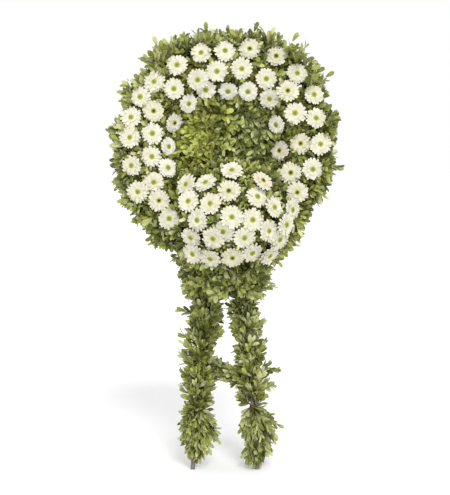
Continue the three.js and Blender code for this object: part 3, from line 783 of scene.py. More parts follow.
def face_forward(heads):
    """Turns each head part of the way to the front, and lifts the deep ones a little."""
    depth = np.clip(1 - heads["centre"][:, 2:] / DEEP_BELOW, 0, 1)
    heads["centre"] = heads["centre"] + FRONT * (DEEP_LIFT * depth)
    turn = FORWARD * (1 - INNER_SIDEWAYS * heads["inner"][:, None])
    heads["facing"] = unit(heads["facing"] + turn * FRONT)


def part_heads(heads):
    """Moves the heads of each close pair apart by up to the parting, more the closer they are, and nods
    every head by a random slope."""
    centre, facing = heads["centre"], heads["facing"]
    gap = np.linalg.norm(centre[:, None] - centre[None], axis=-1)
    close = np.clip((2 * HEAD_RADIUS - gap) / PARTING_FADE, 0, 1) * (1 - np.eye(len(centre)))
    rank = np.argsort(np.argsort(rng.random(len(centre))))
    above = np.sign(rank[:, None] - rank[None])
    lift = np.clip((close * above).sum(axis=1), -1, 1) * PARTING
    heads["centre"] = centre + facing * lift[:, None]
    nod = rng.normal(size=facing.shape) * math.tan(NOD) / NOD_SIGMAS
    heads["facing"] = unit(facing + nod)


face_forward(ring_heads)
part_heads(ring_heads)
part_heads(bouquet_heads)
all_centres = np.concatenate([ring_heads["centre"], bouquet_heads["centre"]])
all_facings = np.concatenate([ring_heads["facing"], bouquet_heads["facing"]])
print("heads stand out by", all_centres[:, 2].min().round(), "to", all_centres[:, 2].max().round(), "mm")

# %% [markdown]
# ## A gerbera
# Some fifty petals in three rows: a long flat row behind, a second one raised over its gaps, and a short
# row standing up round the centre. No two petals are quite alike, so each one's turn, rise, length,
# width, bend, cup, twist and shade depart a little from its row's. The centre is a low dome covered in
# florets set along a sunflower's spiral. Below is the green cup that the stem comes out of.

# %% Petals of every head
PETAL_ROWS = [
    # petals, root radius, tip radius, width, rise in degrees, root height, bend
    (20, 8.5, 48.0, 12.8, 4, 0.0, 0.08),
    (18, 8.0, 39.5, 12.4, 8, 0.9, 0.12),
    (14, 7.5, 27.0, 9.0, 17, 1.8, 0.26),
]
HEAD_SIZES, HEAD_TONES = (0.94, 1.04), (0.42, 0.68)
DARK_DULLS, INNER_PAINTED_LIGHT, BLUSH_TINT = 0.15, 0.4, 0.26
PETAL_RANGES = {
    "turn": (-0.22, 0.22), "rise": (-5, 6), "length": (0.86, 1.05), "width": (0.88, 1.1),
    "bend": (-0.1, 0.22), "cup": (0.02, 0.2), "twist": (-0.18, 0.18), "tone": (-0.15, 0.1),
    "tint": (-0.03, 0.1),
}
HEAD_GUIDE = [0.31, 0.95, 0.02]


def head_frames(facing):
    """Two directions square to each facing, turned by a random angle."""
    side = square_to(np.tile(HEAD_GUIDE, (len(facing), 1)), facing)
    front = np.cross(facing, side)
    turn = rng.random(len(facing)) * FULL_TURN
    return swing(side, front, turn), swing(front, -side, turn)


def petals_of(centre, facing, size, blush, dark, inner):
    """Petals at even angles, jittered, each rising from its row's root circle to its tip circle."""
    side, front = head_frames(facing)
    size = size * spread(*HEAD_SIZES, len(centre), rng)
    vary = varied(PETAL_RANGES, rng)
    made = []
    for count, root_radius, tip_radius, width, rise, lift, bend in PETAL_ROWS:
        each, every = (len(centre), count), len(centre) * count
        angle = FULL_TURN * (np.arange(count) + vary("turn", each)) / count
        outwards = swing(side[:, None], front[:, None], angle)
        climb = np.radians(rise + vary("rise", each))
        along = swing(outwards, facing[:, None], climb)
        top = swing(facing[:, None], -outwards, climb)
        root = centre[:, None] + outwards * root_radius + facing[:, None] * lift
        length = (tip_radius - root_radius) * vary("length", each) * size[:, None]
        made.append(blades(
            root.reshape(-1, 3), along.reshape(-1, 3), top.reshape(-1, 3), length.ravel(),
            width * vary("width", every), PETAL_OUTLINE, PETAL_THICKNESS, bend=bend + vary("bend", every),
            cup=vary("cup", every), twist=vary("twist", every),
            # Painted light: the petals of the inner row's heads, shaded in the recess, are toned whiter.
            tone=np.clip(np.repeat(spread(*HEAD_TONES, len(centre), rng) - DARK_DULLS * dark
                                   + INNER_PAINTED_LIGHT * inner, count) + vary("tone", every), 0, 1),
            tint=np.clip(np.repeat(blush * BLUSH_TINT, count) + vary("tint", every), 0, 1),
        ))
    return made


# %% Florets and cup of every head
FLORETS, FLORET_RADII, FLORET_LENGTH, FLORET_SUNK, FLORET_LEAN = 60, (1.05, 0.4), 2.6, 1.6, 0.7
EYE_RADIUS, EYE_BASE, EYE_RISE, EYE_FALL = 12.0, 1.2, 4.4, 0.8
CUP_SIDES = 12
CUP_ROWS = np.array([
    # radius and height, from the stem up
    (2.3, -13.0), (4.6, -10.0), (7.4, -6.0), (8.8, -1.6), (8.0, 0.6),
])
DOME_ROWS = np.array([
    # radius and height, from the petals up
    (10.4, 0.6), (11.4, 2.0), (9.2, 3.8), (5.0, 4.9),
])


def florets_of(centre, facing, dark, eye):
    """Florets along a sunflower's spiral, each a small closed spindle that leans outwards. The dome
    under them rises by its base plus the rise times the root of 1 - (fall x share squared)."""
    side, front = head_frames(facing)
    share, angle = sunflower(FLORETS)
    outwards = swing(side[:, None], front[:, None], angle)
    radius = EYE_RADIUS * share * eye[:, None]
    rise = EYE_BASE + EYE_RISE * np.sqrt(1 - EYE_FALL * share**2)
    foot = centre[:, None] + outwards * radius[..., None] + facing[:, None] * (rise - FLORET_SUNK)[:, None]
    lean = unit(facing[:, None] + outwards * (FLORET_LEAN * share)[:, None])
    paths = foot[:, :, None] + lean[:, :, None] * np.array([0.0, FLORET_LENGTH])[:, None]
    return tubes(paths.reshape(-1, 2, 3), FLORET_RADII, 3, np.repeat(side, FLORETS, axis=0),
                 tone=np.tile(share, len(centre)), tint=np.repeat(dark, FLORETS), finish=1)


def cup_of(centre, facing, dark, eye):
    """The green cup below, and the low dome that the florets stand on, toned by its distance from the
    head's own axis."""
    cup = tubes(centre[:, None] + facing[:, None] * CUP_ROWS[:, 1:], CUP_ROWS[:, 0], CUP_SIDES,
                head_frames(facing)[0], finish=2)
    dome = tubes(centre[:, None] + facing[:, None] * DOME_ROWS[:, 1:], DOME_ROWS[:, 0] * eye[:, None],
                 CUP_SIDES, head_frames(facing)[0], tint=dark, finish=1)
    per_head = len(dome["points"]) // len(centre)
    offset = dome["points"] - np.repeat(centre, per_head, axis=0)
    aside = np.linalg.norm(np.cross(offset, np.repeat(facing, per_head, axis=0)), axis=-1)
    dome["tone"] = np.clip(aside / (EYE_RADIUS * np.repeat(eye, per_head)), 0, 1)
    return [cup, dome]


# %% [markdown]
# ## Stems and picks
# The stems of a group bend from the backs of their heads to the pick, a green wooden peg that goes
# square into the straw of the ring or the foam of the bouquet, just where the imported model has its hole.

# %% Stems to the group's pick
STRAW_MAJOR, STRAW_TUBE = 315, 75
FOAM_HALF = np.array([176.0, 164.0])
FOAM_BASE, FOAM_RISE, PICK_PULL = 77, 98, 0.78
STEM_RADIUS, STEM_START, STEM_SWEEP, STEM_STEPS = 2.3, 12, 0.45, 8
STEM_GUIDE = [0.3, 0.2, 0.93]
PICK_HEAD = 14
PICK_ROWS = np.array([
    # distance into the straw or foam, radius
    (-PICK_HEAD - 3, 2.6), (-PICK_HEAD, 4.0), (4, 4.0), (16, 3.2), (26, 0.8),
])
EYE_SIZES = (0.86, 1.12)


def ring_entry(middle):
    """The point of the straw that is nearest to the group's middle, and the way into the straw."""
    core = unit(middle * [1, 1, 0]) * STRAW_MAJOR
    inwards = unit(core - middle)
    return core - inwards * STRAW_TUBE, inwards


def bouquet_entry(middle):
    """The point of the foam's dome under the group's middle, pulled in, and the way into the foam."""
    share = PICK_PULL * (middle[:2] - DOME_MIDDLE) / FOAM_HALF
    out = math.sqrt(1 - share @ share)
    entry = np.array([*(DOME_MIDDLE + share * FOAM_HALF), FOAM_BASE + out * FOAM_RISE])
    return entry, -unit(np.array([*(share / FOAM_HALF), out / FOAM_RISE]))


def stems_of(centre, facing, entry, inwards):
    """Each stem is a curve of three points: the back of the head, a point behind it, the pick's head."""
    start = centre - facing * STEM_START
    bend = start - facing * np.linalg.norm(start - entry, axis=-1, keepdims=True) * STEM_SWEEP
    end = np.broadcast_to(entry - inwards * PICK_HEAD, start.shape)
    path = curve(start[:, None], bend[:, None], end[:, None], np.linspace(0, 1, STEM_STEPS)[:, None])
    return [tubes(path, STEM_RADIUS, 6, STEM_GUIDE, finish=2),
            tubes((entry + PICK_ROWS[:, :1] * inwards)[None], PICK_ROWS[:, 1], 10, STEM_GUIDE, finish=2)]


def flower_pieces(heads, groups, entry_of, stem, node):
    """One piece for each wired group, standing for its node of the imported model."""
    for index in range(len(groups)):
        mine = {key: value[heads["group"] == index] for key, value in heads.items()}
        centre, facing, dark = mine["centre"], mine["facing"], mine["dark"]
        parts = petals_of(centre, facing, mine["size"], mine["blush"], dark, mine["inner"])
        eye = spread(*EYE_SIZES, len(centre), rng)
        parts += [florets_of(centre, facing, dark, eye), *cup_of(centre, facing, dark, eye)]
        parts += stems_of(centre, facing, *entry_of(mine["planned"].mean(axis=0)))
        piece(f"{stem}_{index + 1:02d}", parts, [PETAL, EYE, STEM], [f"{node}_{index + 1:02d}"])


flower_pieces(ring_heads, RING_GROUPS, ring_entry, "ring_gerberas", "ring_flowers")
flower_pieces(bouquet_heads, BOUQUET_GROUPS, bouquet_entry, "bouquet_gerberas", "bouquet_flowers")
print("made", len(RING_GROUPS) + len(BOUQUET_GROUPS), "groups of gerberas")

# %% [markdown]
# ## A sprig
# Foliage is bought as branches and cut into sprigs: a twig with seven or eight leaves that leave it one
# by one, each turned on from the last by the golden angle, standing out more at the foot of the twig
# than at its end. Leaves turn their faces to the light, so each leaf's top leans from its natural side
# towards the way the whole surface looks.

# %% Sprigs as arrays of leaves
LEAF_RANGES = {
    "share": (-0.03, 0.03), "opening": (-12, 12), "size": (0.78, 1.14), "width": (0.86, 1.14),
    "bend": (-0.1, 0.6), "cup": (0.05, 0.34), "twist": (-0.3, 0.3),
}
FIRST_LEAF, TIP_SMALLER = 0.6, 0.32
TWIG_BOW, LEAF_TOSS = 0.08, 0.22
SPRIG_TONE, LEAF_TONE, TIP_TONE, PALEST = 0.24, 0.25, 0.12, 0.86
YOUNG_TIP, YOUNG_FROM, YOUNG_OVER = 0.16, 0.72, 0.28
ANY_TURN = 6.283
TWIG_STEPS, TWIG_END = 5, 0.97


def sprigs(base, heading, facing, length, leaves, leaf, lift, tone, rng, open_from=62, open_to=16,
           to_light=0.9, young=0.0, slender=0.40, bare=0.14):
    """Leaf j of a sprig sits at a share of the twig between its bare foot and its tip. The twig bends
    towards the facing by lift x length x share squared. The leaves open from one angle at the foot to
    another at the tip. Gives the leaves' arrays and the twigs' paths."""
    count = len(base)
    every = count * leaves
    vary = varied(LEAF_RANGES, rng)

    def twig(s):
        return (base[:, None] + heading[:, None] * (length * s)[..., None]
                + bow[:, None] * (length * s**2)[..., None])

    heading, facing = unit(heading), unit(np.broadcast_to(facing, base.shape))
    length = np.broadcast_to(length, count)[:, None]
    share = bare + (1 - bare) * (np.arange(leaves) + FIRST_LEAF) / leaves
    share = np.clip(share + vary("share", (count, leaves)), 0, 1)
    bow = facing * lift + rng.normal(size=base.shape) * TWIG_BOW
    tangent = unit(heading[:, None] + bow[:, None] * (2 * share)[..., None])
    side = square_to(np.cross(heading, facing)[:, None], tangent)
    turn = rng.random(count)[:, None] * ANY_TURN + GOLDEN * np.arange(leaves)
    outwards = swing(side, np.cross(side, tangent), turn)
    opening = np.radians(between(open_from, open_to, share) + vary("opening", share.shape))
    natural = swing(-outwards, tangent, opening)
    top = natural + facing[:, None] * to_light + rng.normal(size=natural.shape) * LEAF_TOSS
    size = leaf * vary("size", share.shape) * (1.02 - TIP_SMALLER * share**3)
    level = (tone + rng.normal(size=(count, 1)) * SPRIG_TONE + rng.normal(size=share.shape) * LEAF_TONE
             + TIP_TONE * (share - 0.5))
    youth = young + YOUNG_TIP * np.clip(share - YOUNG_FROM, 0, 1) / YOUNG_OVER * rng.random((count, 1))
    grown = {
        "root": twig(share).reshape(-1, 3),
        "along": unit(swing(tangent, outwards, opening)).reshape(-1, 3),
        "top": unit(top).reshape(-1, 3),
        "length": size.ravel(),
        "width": (size * slender * vary("width", share.shape)).ravel(),
        "bend": vary("bend", every),
        "cup": vary("cup", every),
        "twist": vary("twist", every),
        "tone": np.clip(level, 0, PALEST).ravel(),
        "tint": np.clip(np.broadcast_to(youth, size.shape), 0, 1).ravel(),
    }
    steps = np.linspace(0, TWIG_END, TWIG_STEPS)
    twigs = {"paths": twig(np.broadcast_to(steps, (count, TWIG_STEPS))), "guide": facing}
    return grown, twigs


# %% [markdown]
# ## Leaves that would be in the way
# A florist turns back the leaves that hide a flower, so leaves whose middle or tip would lie over or
# inside a head are left out, seen along the head's own facing and seen from the front. So are twigs
# that would cross one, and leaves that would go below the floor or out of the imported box.

# %% Keep the leaves that have room
HEAD_CLEAR, FRONT_CLEAR = 40.0, 36.0
HEAD_BELOW, HEAD_ABOVE = 4.0, 120
FLOOR_CLEAR, BOX_ROOM = 3.0, 0.012
LEAF_MIDDLE, LEAF_TIP = 0.5, 0.96
TWIG_RADII = [1.6, 1.4, 1.2, 0.9, 0.6]


def hides_head(points):
    """True where a point lies in front of a head, or in it."""
    offset = points[:, None] - all_centres[None]
    hidden = np.zeros(len(points), dtype=bool)
    front = np.broadcast_to(FRONT, all_facings.shape)
    for facing, clear in ((all_facings, HEAD_CLEAR), (front, FRONT_CLEAR)):
        above = np.sum(offset * facing, axis=-1)
        aside = np.linalg.norm(offset - above[..., None] * facing, axis=-1)
        hidden |= np.any((aside < clear) & (above > -HEAD_BELOW) & (above < HEAD_ABOVE), axis=1)
    return hidden


def has_room(grown):
    """True for the leaves that clear all heads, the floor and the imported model's box."""
    middle, tip = (grown["root"] + grown["along"] * grown["length"][:, None] * share
                   for share in (LEAF_MIDDLE, LEAF_TIP))
    low, high = np.array(packed_low) - BOX_ROOM, np.array(packed_high) + BOX_ROOM
    world = to_world(tip)
    room = ~(hides_head(middle) | hides_head(tip))
    room &= (height_of(tip) > FLOOR_CLEAR) & (height_of(middle) > FLOOR_CLEAR)
    return room & np.all((world > low) & (world < high), axis=1)


def foliage_parts(*grown_sets):
    """The blades of the leaves that have room, and the twigs that do."""
    parts = []
    for grown, twigs in grown_sets:
        keep = has_room(grown)
        kept = {key: value[keep] for key, value in grown.items()}
        if len(kept["root"]):
            parts.append(blades(**kept, shape=LEAF_OUTLINE, thickness=LEAF_THICKNESS))
        clear = height_of(twigs["paths"]).min(axis=1) > FLOOR_CLEAR
        for step in range(1, TWIG_STEPS):
            clear &= ~hides_head(twigs["paths"][:, step])
        parts.append(tubes(twigs["paths"][clear], TWIG_RADII, 3, twigs["guide"][clear], finish=1))
    return parts


def foliage_piece(name, node, *grown_sets, leaf=LEAF, slot="leaf"):
    """Makes a piece of all that has room in some sets of sprigs."""
    piece(name, foliage_parts(*grown_sets), [leaf, TWIG], [node])


def chosen(grown_set, leaves, mask):
    """The sprigs of a set for which the mask is true."""
    grown, twigs = grown_set
    of_leaf = np.repeat(mask, leaves)
    return ({key: value[of_leaf] for key, value in grown.items()},
            {key: value[mask] for key, value in twigs.items()})


# %% [markdown]
# ## Rim and ring foliage
# Round the ring the sprigs are pushed in close together. Those of the rim point away from the centre,
# some backwards and some forwards, and make the ragged outer edge. Those of the face lie between the
# flowers. Each is handed to the stretch of rim or inner wall that it grows on.

# %% Outline of the rim
RIM_FROM, RIM_TO, RIM_ARCS = -162, 160, 6
INNER_FROM, INNER_TO, INNER_ARCS = -140, 132, 3
RIM_SPRIGS, FACE_SPRIGS, INNER_SPRIGS = 440, 620, 150
RIM_LEAVES, FACE_LEAVES, INNER_LEAVES = 8, 7, 7
RIM_OUTLINE = [
    # clock angle, reach
    (-165, 438), (-145, 430), (-130, 438), (-100, 420), (-70, 430), (-56, 440), (-42, 424), (-30, 488),
    (-18, 470), (0, 430), (10, 470), (20, 466), (40, 506), (52, 464), (62, 430), (76, 440), (90, 402),
    (105, 412), (130, 396), (150, 454), (165, 446),
]
LONG_TUFTS, LONG_REACH, LONG_WIDTH = [-79, -58, -28, -10, 11, 23, 47, 76, 98, 139], 30, 2.4
TUFTS, TUFT_SPAN, TUFT = 48, 190, 12


def rim_outline(clock):
    """How far the foliage reaches at a clock angle: on a straight line between two rows."""
    return np.interp(clock, *np.transpose(RIM_OUTLINE))


def rim_reach(clock, rng):
    """How far the rim's sprigs reach: the outline, tufts every eight degrees or so that stand out or
    fall short together, and a few long ones, each a bell curve of the clock angle."""
    tufts = np.interp(clock, np.linspace(-TUFT_SPAN, TUFT_SPAN, TUFTS), rng.normal(size=TUFTS) * TUFT)
    long = np.exp(-((clock[:, None] - LONG_TUFTS) / LONG_WIDTH) ** 2).sum(axis=1) * LONG_REACH
    return rim_outline(clock) + tufts + long


print("the rim reaches", min(reach for _, reach in RIM_OUTLINE), "to", max(reach for _, reach in RIM_OUTLINE))

# %% Sprigs of the rim
# From the back of the rim to its front, sprigs tilt from one angle to the other and start from one
# height to the other; the rearmost look backwards. Where the outline is narrow, they start further in.
RIM_TILT, RIM_OUT, RIM_TURNED = (-48, 60), (-34, 50), 0.22
RIM_START, RIM_FULL, RIM_PULL, RIM_PULL_MOST = (374, 398), 440, 0.8, 40
RIM_JITTER, RIM_SWING, RIM_UNEVEN = 1.2, 17, 11
RIM_LENGTH, RIM_LEAST_COSINE = (0.62, 0.92), 0.62
RIM_TONE, RIM_RIGHT_PAINTED_SHADE, RIM_LOW_RIGHT_PAINTED_SHADE, RIM_TOP_PAINTED_LIGHT = 0.345, 0.11, 0.16, 0.03


def rim_set():
    """Sprigs from just outside the straw, at even clock angles in a shuffled order of depth."""
    rng = np.random.default_rng(7)
    clock = np.linspace(RIM_FROM, RIM_TO, RIM_SPRIGS) + rng.normal(size=RIM_SPRIGS) * RIM_JITTER
    depth = rng.random(RIM_SPRIGS)
    tilt = np.radians(between(*RIM_TILT, depth))
    pull = np.clip(RIM_FULL - rim_outline(clock), 0, RIM_PULL_MOST) * RIM_PULL
    distance = spread(*RIM_START, RIM_SPRIGS, rng) - pull
    base = clock_point(clock, distance, between(*RIM_OUT, depth))
    swung = clock + rng.normal(size=RIM_SPRIGS) * RIM_SWING
    heading = clock_point(swung, np.cos(tilt), np.sin(tilt))
    facing = clock_point(clock, 0.55, 0.9 * np.sign(depth - RIM_TURNED))
    reach = rim_reach(clock, rng) + rng.normal(size=RIM_SPRIGS) * RIM_UNEVEN
    length = (reach - distance) / np.maximum(np.cos(tilt), RIM_LEAST_COSINE)
    length = length * spread(*RIM_LENGTH, RIM_SPRIGS, rng)
    # Painted light and shade: the rim's leaves are toned darker on the right, darker still low on the right,
    # and paler at the top.
    right, top = np.sin(np.radians(clock))[:, None], np.cos(np.radians(clock))[:, None]
    darker = RIM_RIGHT_PAINTED_SHADE + RIM_LOW_RIGHT_PAINTED_SHADE * np.clip(-top, 0, None)
    tone = RIM_TONE - darker * right + RIM_TOP_PAINTED_LIGHT * top
    return clock, sprigs(base, heading, facing, length, RIM_LEAVES, 54.0, lift=0.05, tone=tone, rng=rng,
                         young=0.02, slender=0.41)


# %% Sprigs of the face and the inner wall
# Two of three sprigs of the face stand up from the surface, and the third lies low over it.
FACE_FROM, FACE_SHORT, FACE_CROWDING, FACE_SWING = 236, 32, 0.8, 60
FACE_SUNK, FACE_LEAST_OUT = 6, 20.0
FACE_LOW, FACE_HIGH, FACE_LENGTH = (0.02, 0.22), (0.35, 0.8), (46, 66)
FACE_TONE, FACE_PAINTED_LIGHT_SWING, FACE_PAINTED_LIGHT_CLOCK = 0.39, 0.09, -85


def face_set():
    """Sprigs on the front of the straw, leaning over the surface in mixed directions."""
    rng = np.random.default_rng(19)
    i = np.arange(FACE_SPRIGS)
    clock = ((i * GOLDEN_DEGREES) % (RIM_TO - RIM_FROM)) + RIM_FROM
    outermost = rim_outline(clock) - FACE_SHORT
    distance = between(FACE_FROM, outermost, ((i + 0.5) / FACE_SPRIGS) ** FACE_CROWDING)
    step = distance - STRAW_MAJOR
    out = np.sqrt(np.maximum(STRAW_TUBE**2 - step**2, FACE_LEAST_OUT**2)) - FACE_SUNK
    surface = ring_facing(clock, distance)
    flat = clock_point(clock + rng.normal(size=FACE_SPRIGS) * FACE_SWING, 1.0, 0.0)
    low, high = (spread(*rise, (FACE_SPRIGS, 1), rng) for rise in (FACE_LOW, FACE_HIGH))
    heading = square_to(flat, surface) + surface * np.where((i % 3 == 0)[:, None], low, high)
    # Painted light and shade: the face's leaves are toned palest at clock -85, on the left, and darkest on
    # the right.
    tone = FACE_TONE + FACE_PAINTED_LIGHT_SWING * np.cos(np.radians(clock - FACE_PAINTED_LIGHT_CLOCK))[:, None]
    return clock, distance, sprigs(
        clock_point(clock, distance, out), heading, surface, spread(*FACE_LENGTH, FACE_SPRIGS, rng),
        FACE_LEAVES, 47.0, lift=0.0, tone=tone, rng=rng, young=0.03, to_light=1.1)


INNER_START, INNER_OUT, INNER_TILT, INNER_LENGTH = 244.0, (8, 46), (15, 75), (44, 62)
INNER_BEYOND, INNER_JITTER, INNER_SWING = 12, 2, 28


def inner_set():
    """Sprigs on the ring's inner side, leaning in over the recess."""
    rng = np.random.default_rng(23)
    even = np.linspace(INNER_FROM - INNER_BEYOND, INNER_TO + INNER_BEYOND, INNER_SPRIGS)
    clock = even + rng.normal(size=INNER_SPRIGS) * INNER_JITTER
    tilt = np.radians(spread(*INNER_TILT, INNER_SPRIGS, rng))
    base = clock_point(clock, INNER_START, spread(*INNER_OUT, INNER_SPRIGS, rng))
    swung = clock + rng.normal(size=INNER_SPRIGS) * INNER_SWING
    heading = clock_point(swung, -np.cos(tilt), np.sin(tilt))
    facing = clock_point(clock, -0.45, 0.9)
    return clock, sprigs(base, heading, facing, spread(*INNER_LENGTH, INNER_SPRIGS, rng), INNER_LEAVES, 45.0,
                         lift=0.05, tone=0.36, rng=rng)


# %% Hand the sprigs to their stretches
def arc_of(clock, start, end, arcs):
    """The number of the arc that a clock angle falls in, the first and last taking what lies beyond."""
    return np.clip(((clock - start) / (end - start) * arcs).astype(int), 0, arcs - 1)


rim_clock, rim_grown = rim_set()
face_clock, face_distance, face_grown = face_set()
inner_clock, inner_grown = inner_set()

STRETCHES = [
    # name, first and last clock angle, arcs, sprigs of its own with their leaves, its part of the face
    ("rim", RIM_FROM, RIM_TO, RIM_ARCS, rim_clock, rim_grown, RIM_LEAVES, face_distance >= RING_CREST),
    ("inner", INNER_FROM, INNER_TO, INNER_ARCS, inner_clock, inner_grown, INNER_LEAVES,
     face_distance < RING_CREST),
]
for word, start, end, arcs, clock, grown, leaves, on_side in STRETCHES:
    for arc in range(arcs):
        own = arc_of(clock, start, end, arcs) == arc
        on_face = (arc_of(face_clock, start, end, arcs) == arc) & on_side
        foliage_piece(f"{word}_leaves_{arc + 1:02d}", f"{word}_foliage_{arc + 1:02d}",
                      chosen(grown, leaves, own), chosen(face_grown, FACE_LEAVES, on_face))
print("rim and inner foliage made")

# %% [markdown]
# ## The recessed centre
# The hole of the ring is filled by a pad, set back, and covered with sprigs that lie nearly flat. The
# left half lies across, with a bright lime patch in it; the right half hangs, and is a cooler green.

# %% Centre sprigs
CENTRE_RADIUS, CENTRE_SPRIGS, CENTRE_LEAVES = 212, 124, 8
CENTRE_OUT, CENTRE_TILT, CENTRE_LENGTH, CENTRE_START = (4, 12), (8, 36), (62, 84), 24
CENTRE_WAYS, WAY_SWING = {-1: -78, 1: 150}, 40
SEAM_REACH, SEAM_WAY, SEAM_SWING = 34, 90, 50
LIME_PATCH, LIME_REACH, LIME_FULL = np.array([-66.0, 44.0]), 96.0, 1.3
CENTRE_TONE, LIME_PALER, LIME_YOUNG = 0.50, 0.44, 0.8


def centre_set(side):
    """Sprigs over one half of the disc, by the sunflower's spiral, mostly heading across. The patch of
    lime fades out with the distance from its middle."""
    rng = np.random.default_rng(31 + side)
    share, angle = sunflower(2 * CENTRE_SPRIGS)
    base = clock_point(np.degrees(angle), CENTRE_RADIUS * share, spread(*CENTRE_OUT, len(share), rng))
    base = base[base[:, 0] * side > 0]
    count = len(base)
    way = CENTRE_WAYS[side] + rng.normal(size=count) * WAY_SWING
    across_seam = -side * SEAM_WAY + rng.normal(size=count) * SEAM_SWING
    way = np.where(np.abs(base[:, 0]) < SEAM_REACH, across_seam, way)
    tilt = np.radians(spread(*CENTRE_TILT, count, rng))
    heading = clock_point(way, np.cos(tilt), np.sin(tilt))
    to_patch = np.linalg.norm(base[:, :2] - LIME_PATCH, axis=-1)
    lime = np.clip(LIME_FULL - to_patch / LIME_REACH, 0, 1)[:, None] if side < 0 else 0.0
    length = spread(*CENTRE_LENGTH, count, rng)
    return sprigs(base - heading * CENTRE_START, heading, [0.0, 0.05, 1.0], length, CENTRE_LEAVES, 51.0,
                  lift=0.12, tone=CENTRE_TONE + LIME_PALER * lime, rng=rng, young=LIME_YOUNG * lime,
                  to_light=1.1, slender=0.42)


foliage_piece("centre_leaves_left", "centre_foliage_left", centre_set(-1), leaf=LIME_LEAF, slot="lime_leaf")
foliage_piece("centre_leaves_right", "centre_foliage_right", centre_set(1), leaf=BLUE_LEAF,
              slot="blue_green_leaf")
print("centre foliage made")

# %% [markdown]
# ## The bouquet's leaves
# Short sprigs stand out of the foam between the gerberas, and longer ones lie outwards from under the
# bouquet all round it like a collar.

# %% Bouquet sprigs
BOUQUET_SPRIGS, BOUQUET_LEAVES, BOUQUET_LENGTH = 240, 7, (40, 58)
BOUQUET_REACH, BOUQUET_SUNK, BOUQUET_SWING = 0.98, 4, 0.42
COLLAR_SPRIGS, COLLAR_LEAVES, COLLAR_LENGTH = 120, 8, (52, 80)
COLLAR_BEYOND, COLLAR_OUT, COLLAR_TILT, COLLAR_JITTER, COLLAR_SWING = 6, (76, 112), (-12, 42), 2, 18
COLLAR_TONE, UPPER_PAINTED_SHADE, UPPER_SHORTER = 0.42, 0.14, 0.4


def bouquet_set():
    """Sprigs square to the foam's dome, spread over it by the sunflower's spiral."""
    rng = np.random.default_rng(43)
    share, angle = sunflower(BOUQUET_SPRIGS)
    reach = BOUQUET_REACH * share
    aside = np.stack([np.cos(angle), np.sin(angle)], axis=-1) * reach[:, None]
    out = np.sqrt(1 - reach**2)[:, None]
    height = FOAM_BASE + out * FOAM_RISE - BOUQUET_SUNK
    base = np.concatenate([DOME_MIDDLE + aside * FOAM_HALF, height], axis=-1)
    normal = unit(np.concatenate([aside / FOAM_HALF, out / FOAM_RISE], axis=-1))
    heading = unit(normal + rng.normal(size=normal.shape) * BOUQUET_SWING)
    return sprigs(base, heading, normal + 0.4 * FRONT, spread(*BOUQUET_LENGTH, BOUQUET_SPRIGS, rng),
                  BOUQUET_LEAVES, 44.0, lift=0.0, tone=0.43, rng=rng, young=0.02)


def collar_set():
    """Sprigs that leave the foam's foot outwards, rising a little; the upper ones shorter, in painted shade.
    """
    rng = np.random.default_rng(47)
    even = np.linspace(0, 360, COLLAR_SPRIGS, endpoint=False)
    clock = even + rng.normal(size=COLLAR_SPRIGS) * COLLAR_JITTER
    rim = clock_point(clock, 1.0, 0.0) * [*(FOAM_HALF + COLLAR_BEYOND), 0.0]
    base = np.array([*DOME_MIDDLE, 0.0]) + rim + FRONT * spread(*COLLAR_OUT, (COLLAR_SPRIGS, 1), rng)
    tilt = np.radians(spread(*COLLAR_TILT, COLLAR_SPRIGS, rng))
    swung = clock + rng.normal(size=COLLAR_SPRIGS) * COLLAR_SWING
    heading = clock_point(swung, np.cos(tilt), np.sin(tilt))
    upper = np.clip(np.cos(np.radians(clock)), 0, 1)
    length = spread(*COLLAR_LENGTH, COLLAR_SPRIGS, rng) * (1 - UPPER_SHORTER * upper)
    # Painted shade: the upper sprigs, between the bouquet and the ring, are toned darker.
    return sprigs(base, heading, clock_point(clock, 0.5, 0.85), length, COLLAR_LEAVES, 47.0, lift=0.0,
                  tone=COLLAR_TONE - UPPER_PAINTED_SHADE * upper[:, None], rng=rng, young=0.03)


foliage_piece("bouquet_leaves", "bouquet_foliage", bouquet_set(), collar_set())
print("bouquet foliage made of", BOUQUET_SPRIGS + COLLAR_SPRIGS, "sprigs")

# %% [markdown]
# ## The neck and the legs
# Below the ring a tapering bunch of sprigs hides the top of the legs, its leaves hanging forwards and
# down. Each leg is bound with sprigs that lie up it, like feathers, and below the waist they hang down
# and flare like a broom. How bushy a leg is at each height follows a short list of half-widths.

# %% Outlines of the legs
TUBE_RADIUS, HOOP_GAP = 7.5, 0.6
LEG_OUT = HOOP_OUT - HOOP_RADIUS - HOOP_GAP - TUBE_RADIUS
LEG_SPREAD, LEG_TAPER, LEG_TOP = 131, 0.0766, 1516
RING_HEIGHT = 1290
LEG_OUTLINE = {
    # for each side, height, reach to the left, reach to the right
    -1: [(30, 36, 24), (62, 40, 56), (84, 50, 94), (120, 58, 106), (178, 74, 96), (222, 56, 52),
         (262, 66, 64), (300, 86, 68), (360, 84, 88), (400, 94, 78), (440, 104, 52), (520, 102, 56),
         (560, 74, 76), (600, 64, 88), (650, 66, 78), (700, 68, 72)],
    1: [(14, 72, 10), (34, 52, 30), (64, 46, 58), (100, 30, 84), (140, 46, 120), (178, 52, 104),
        (210, 46, 62), (245, 24, 42), (270, 26, 64), (300, 50, 98), (330, 50, 98), (360, 48, 76),
        (420, 46, 90), (460, 48, 80), (520, 58, 70), (560, 82, 78), (600, 88, 62), (650, 76, 66),
        (700, 66, 68)],
}
GARLANDS = [
    # name, side, top, bottom, sprigs
    ("left_upper", -1, 740, 440, 104),
    ("left_middle", -1, 392, 262, 60),
    ("right_upper", 1, 740, 370, 120),
    ("right_middle", 1, 322, 290, 28),
]
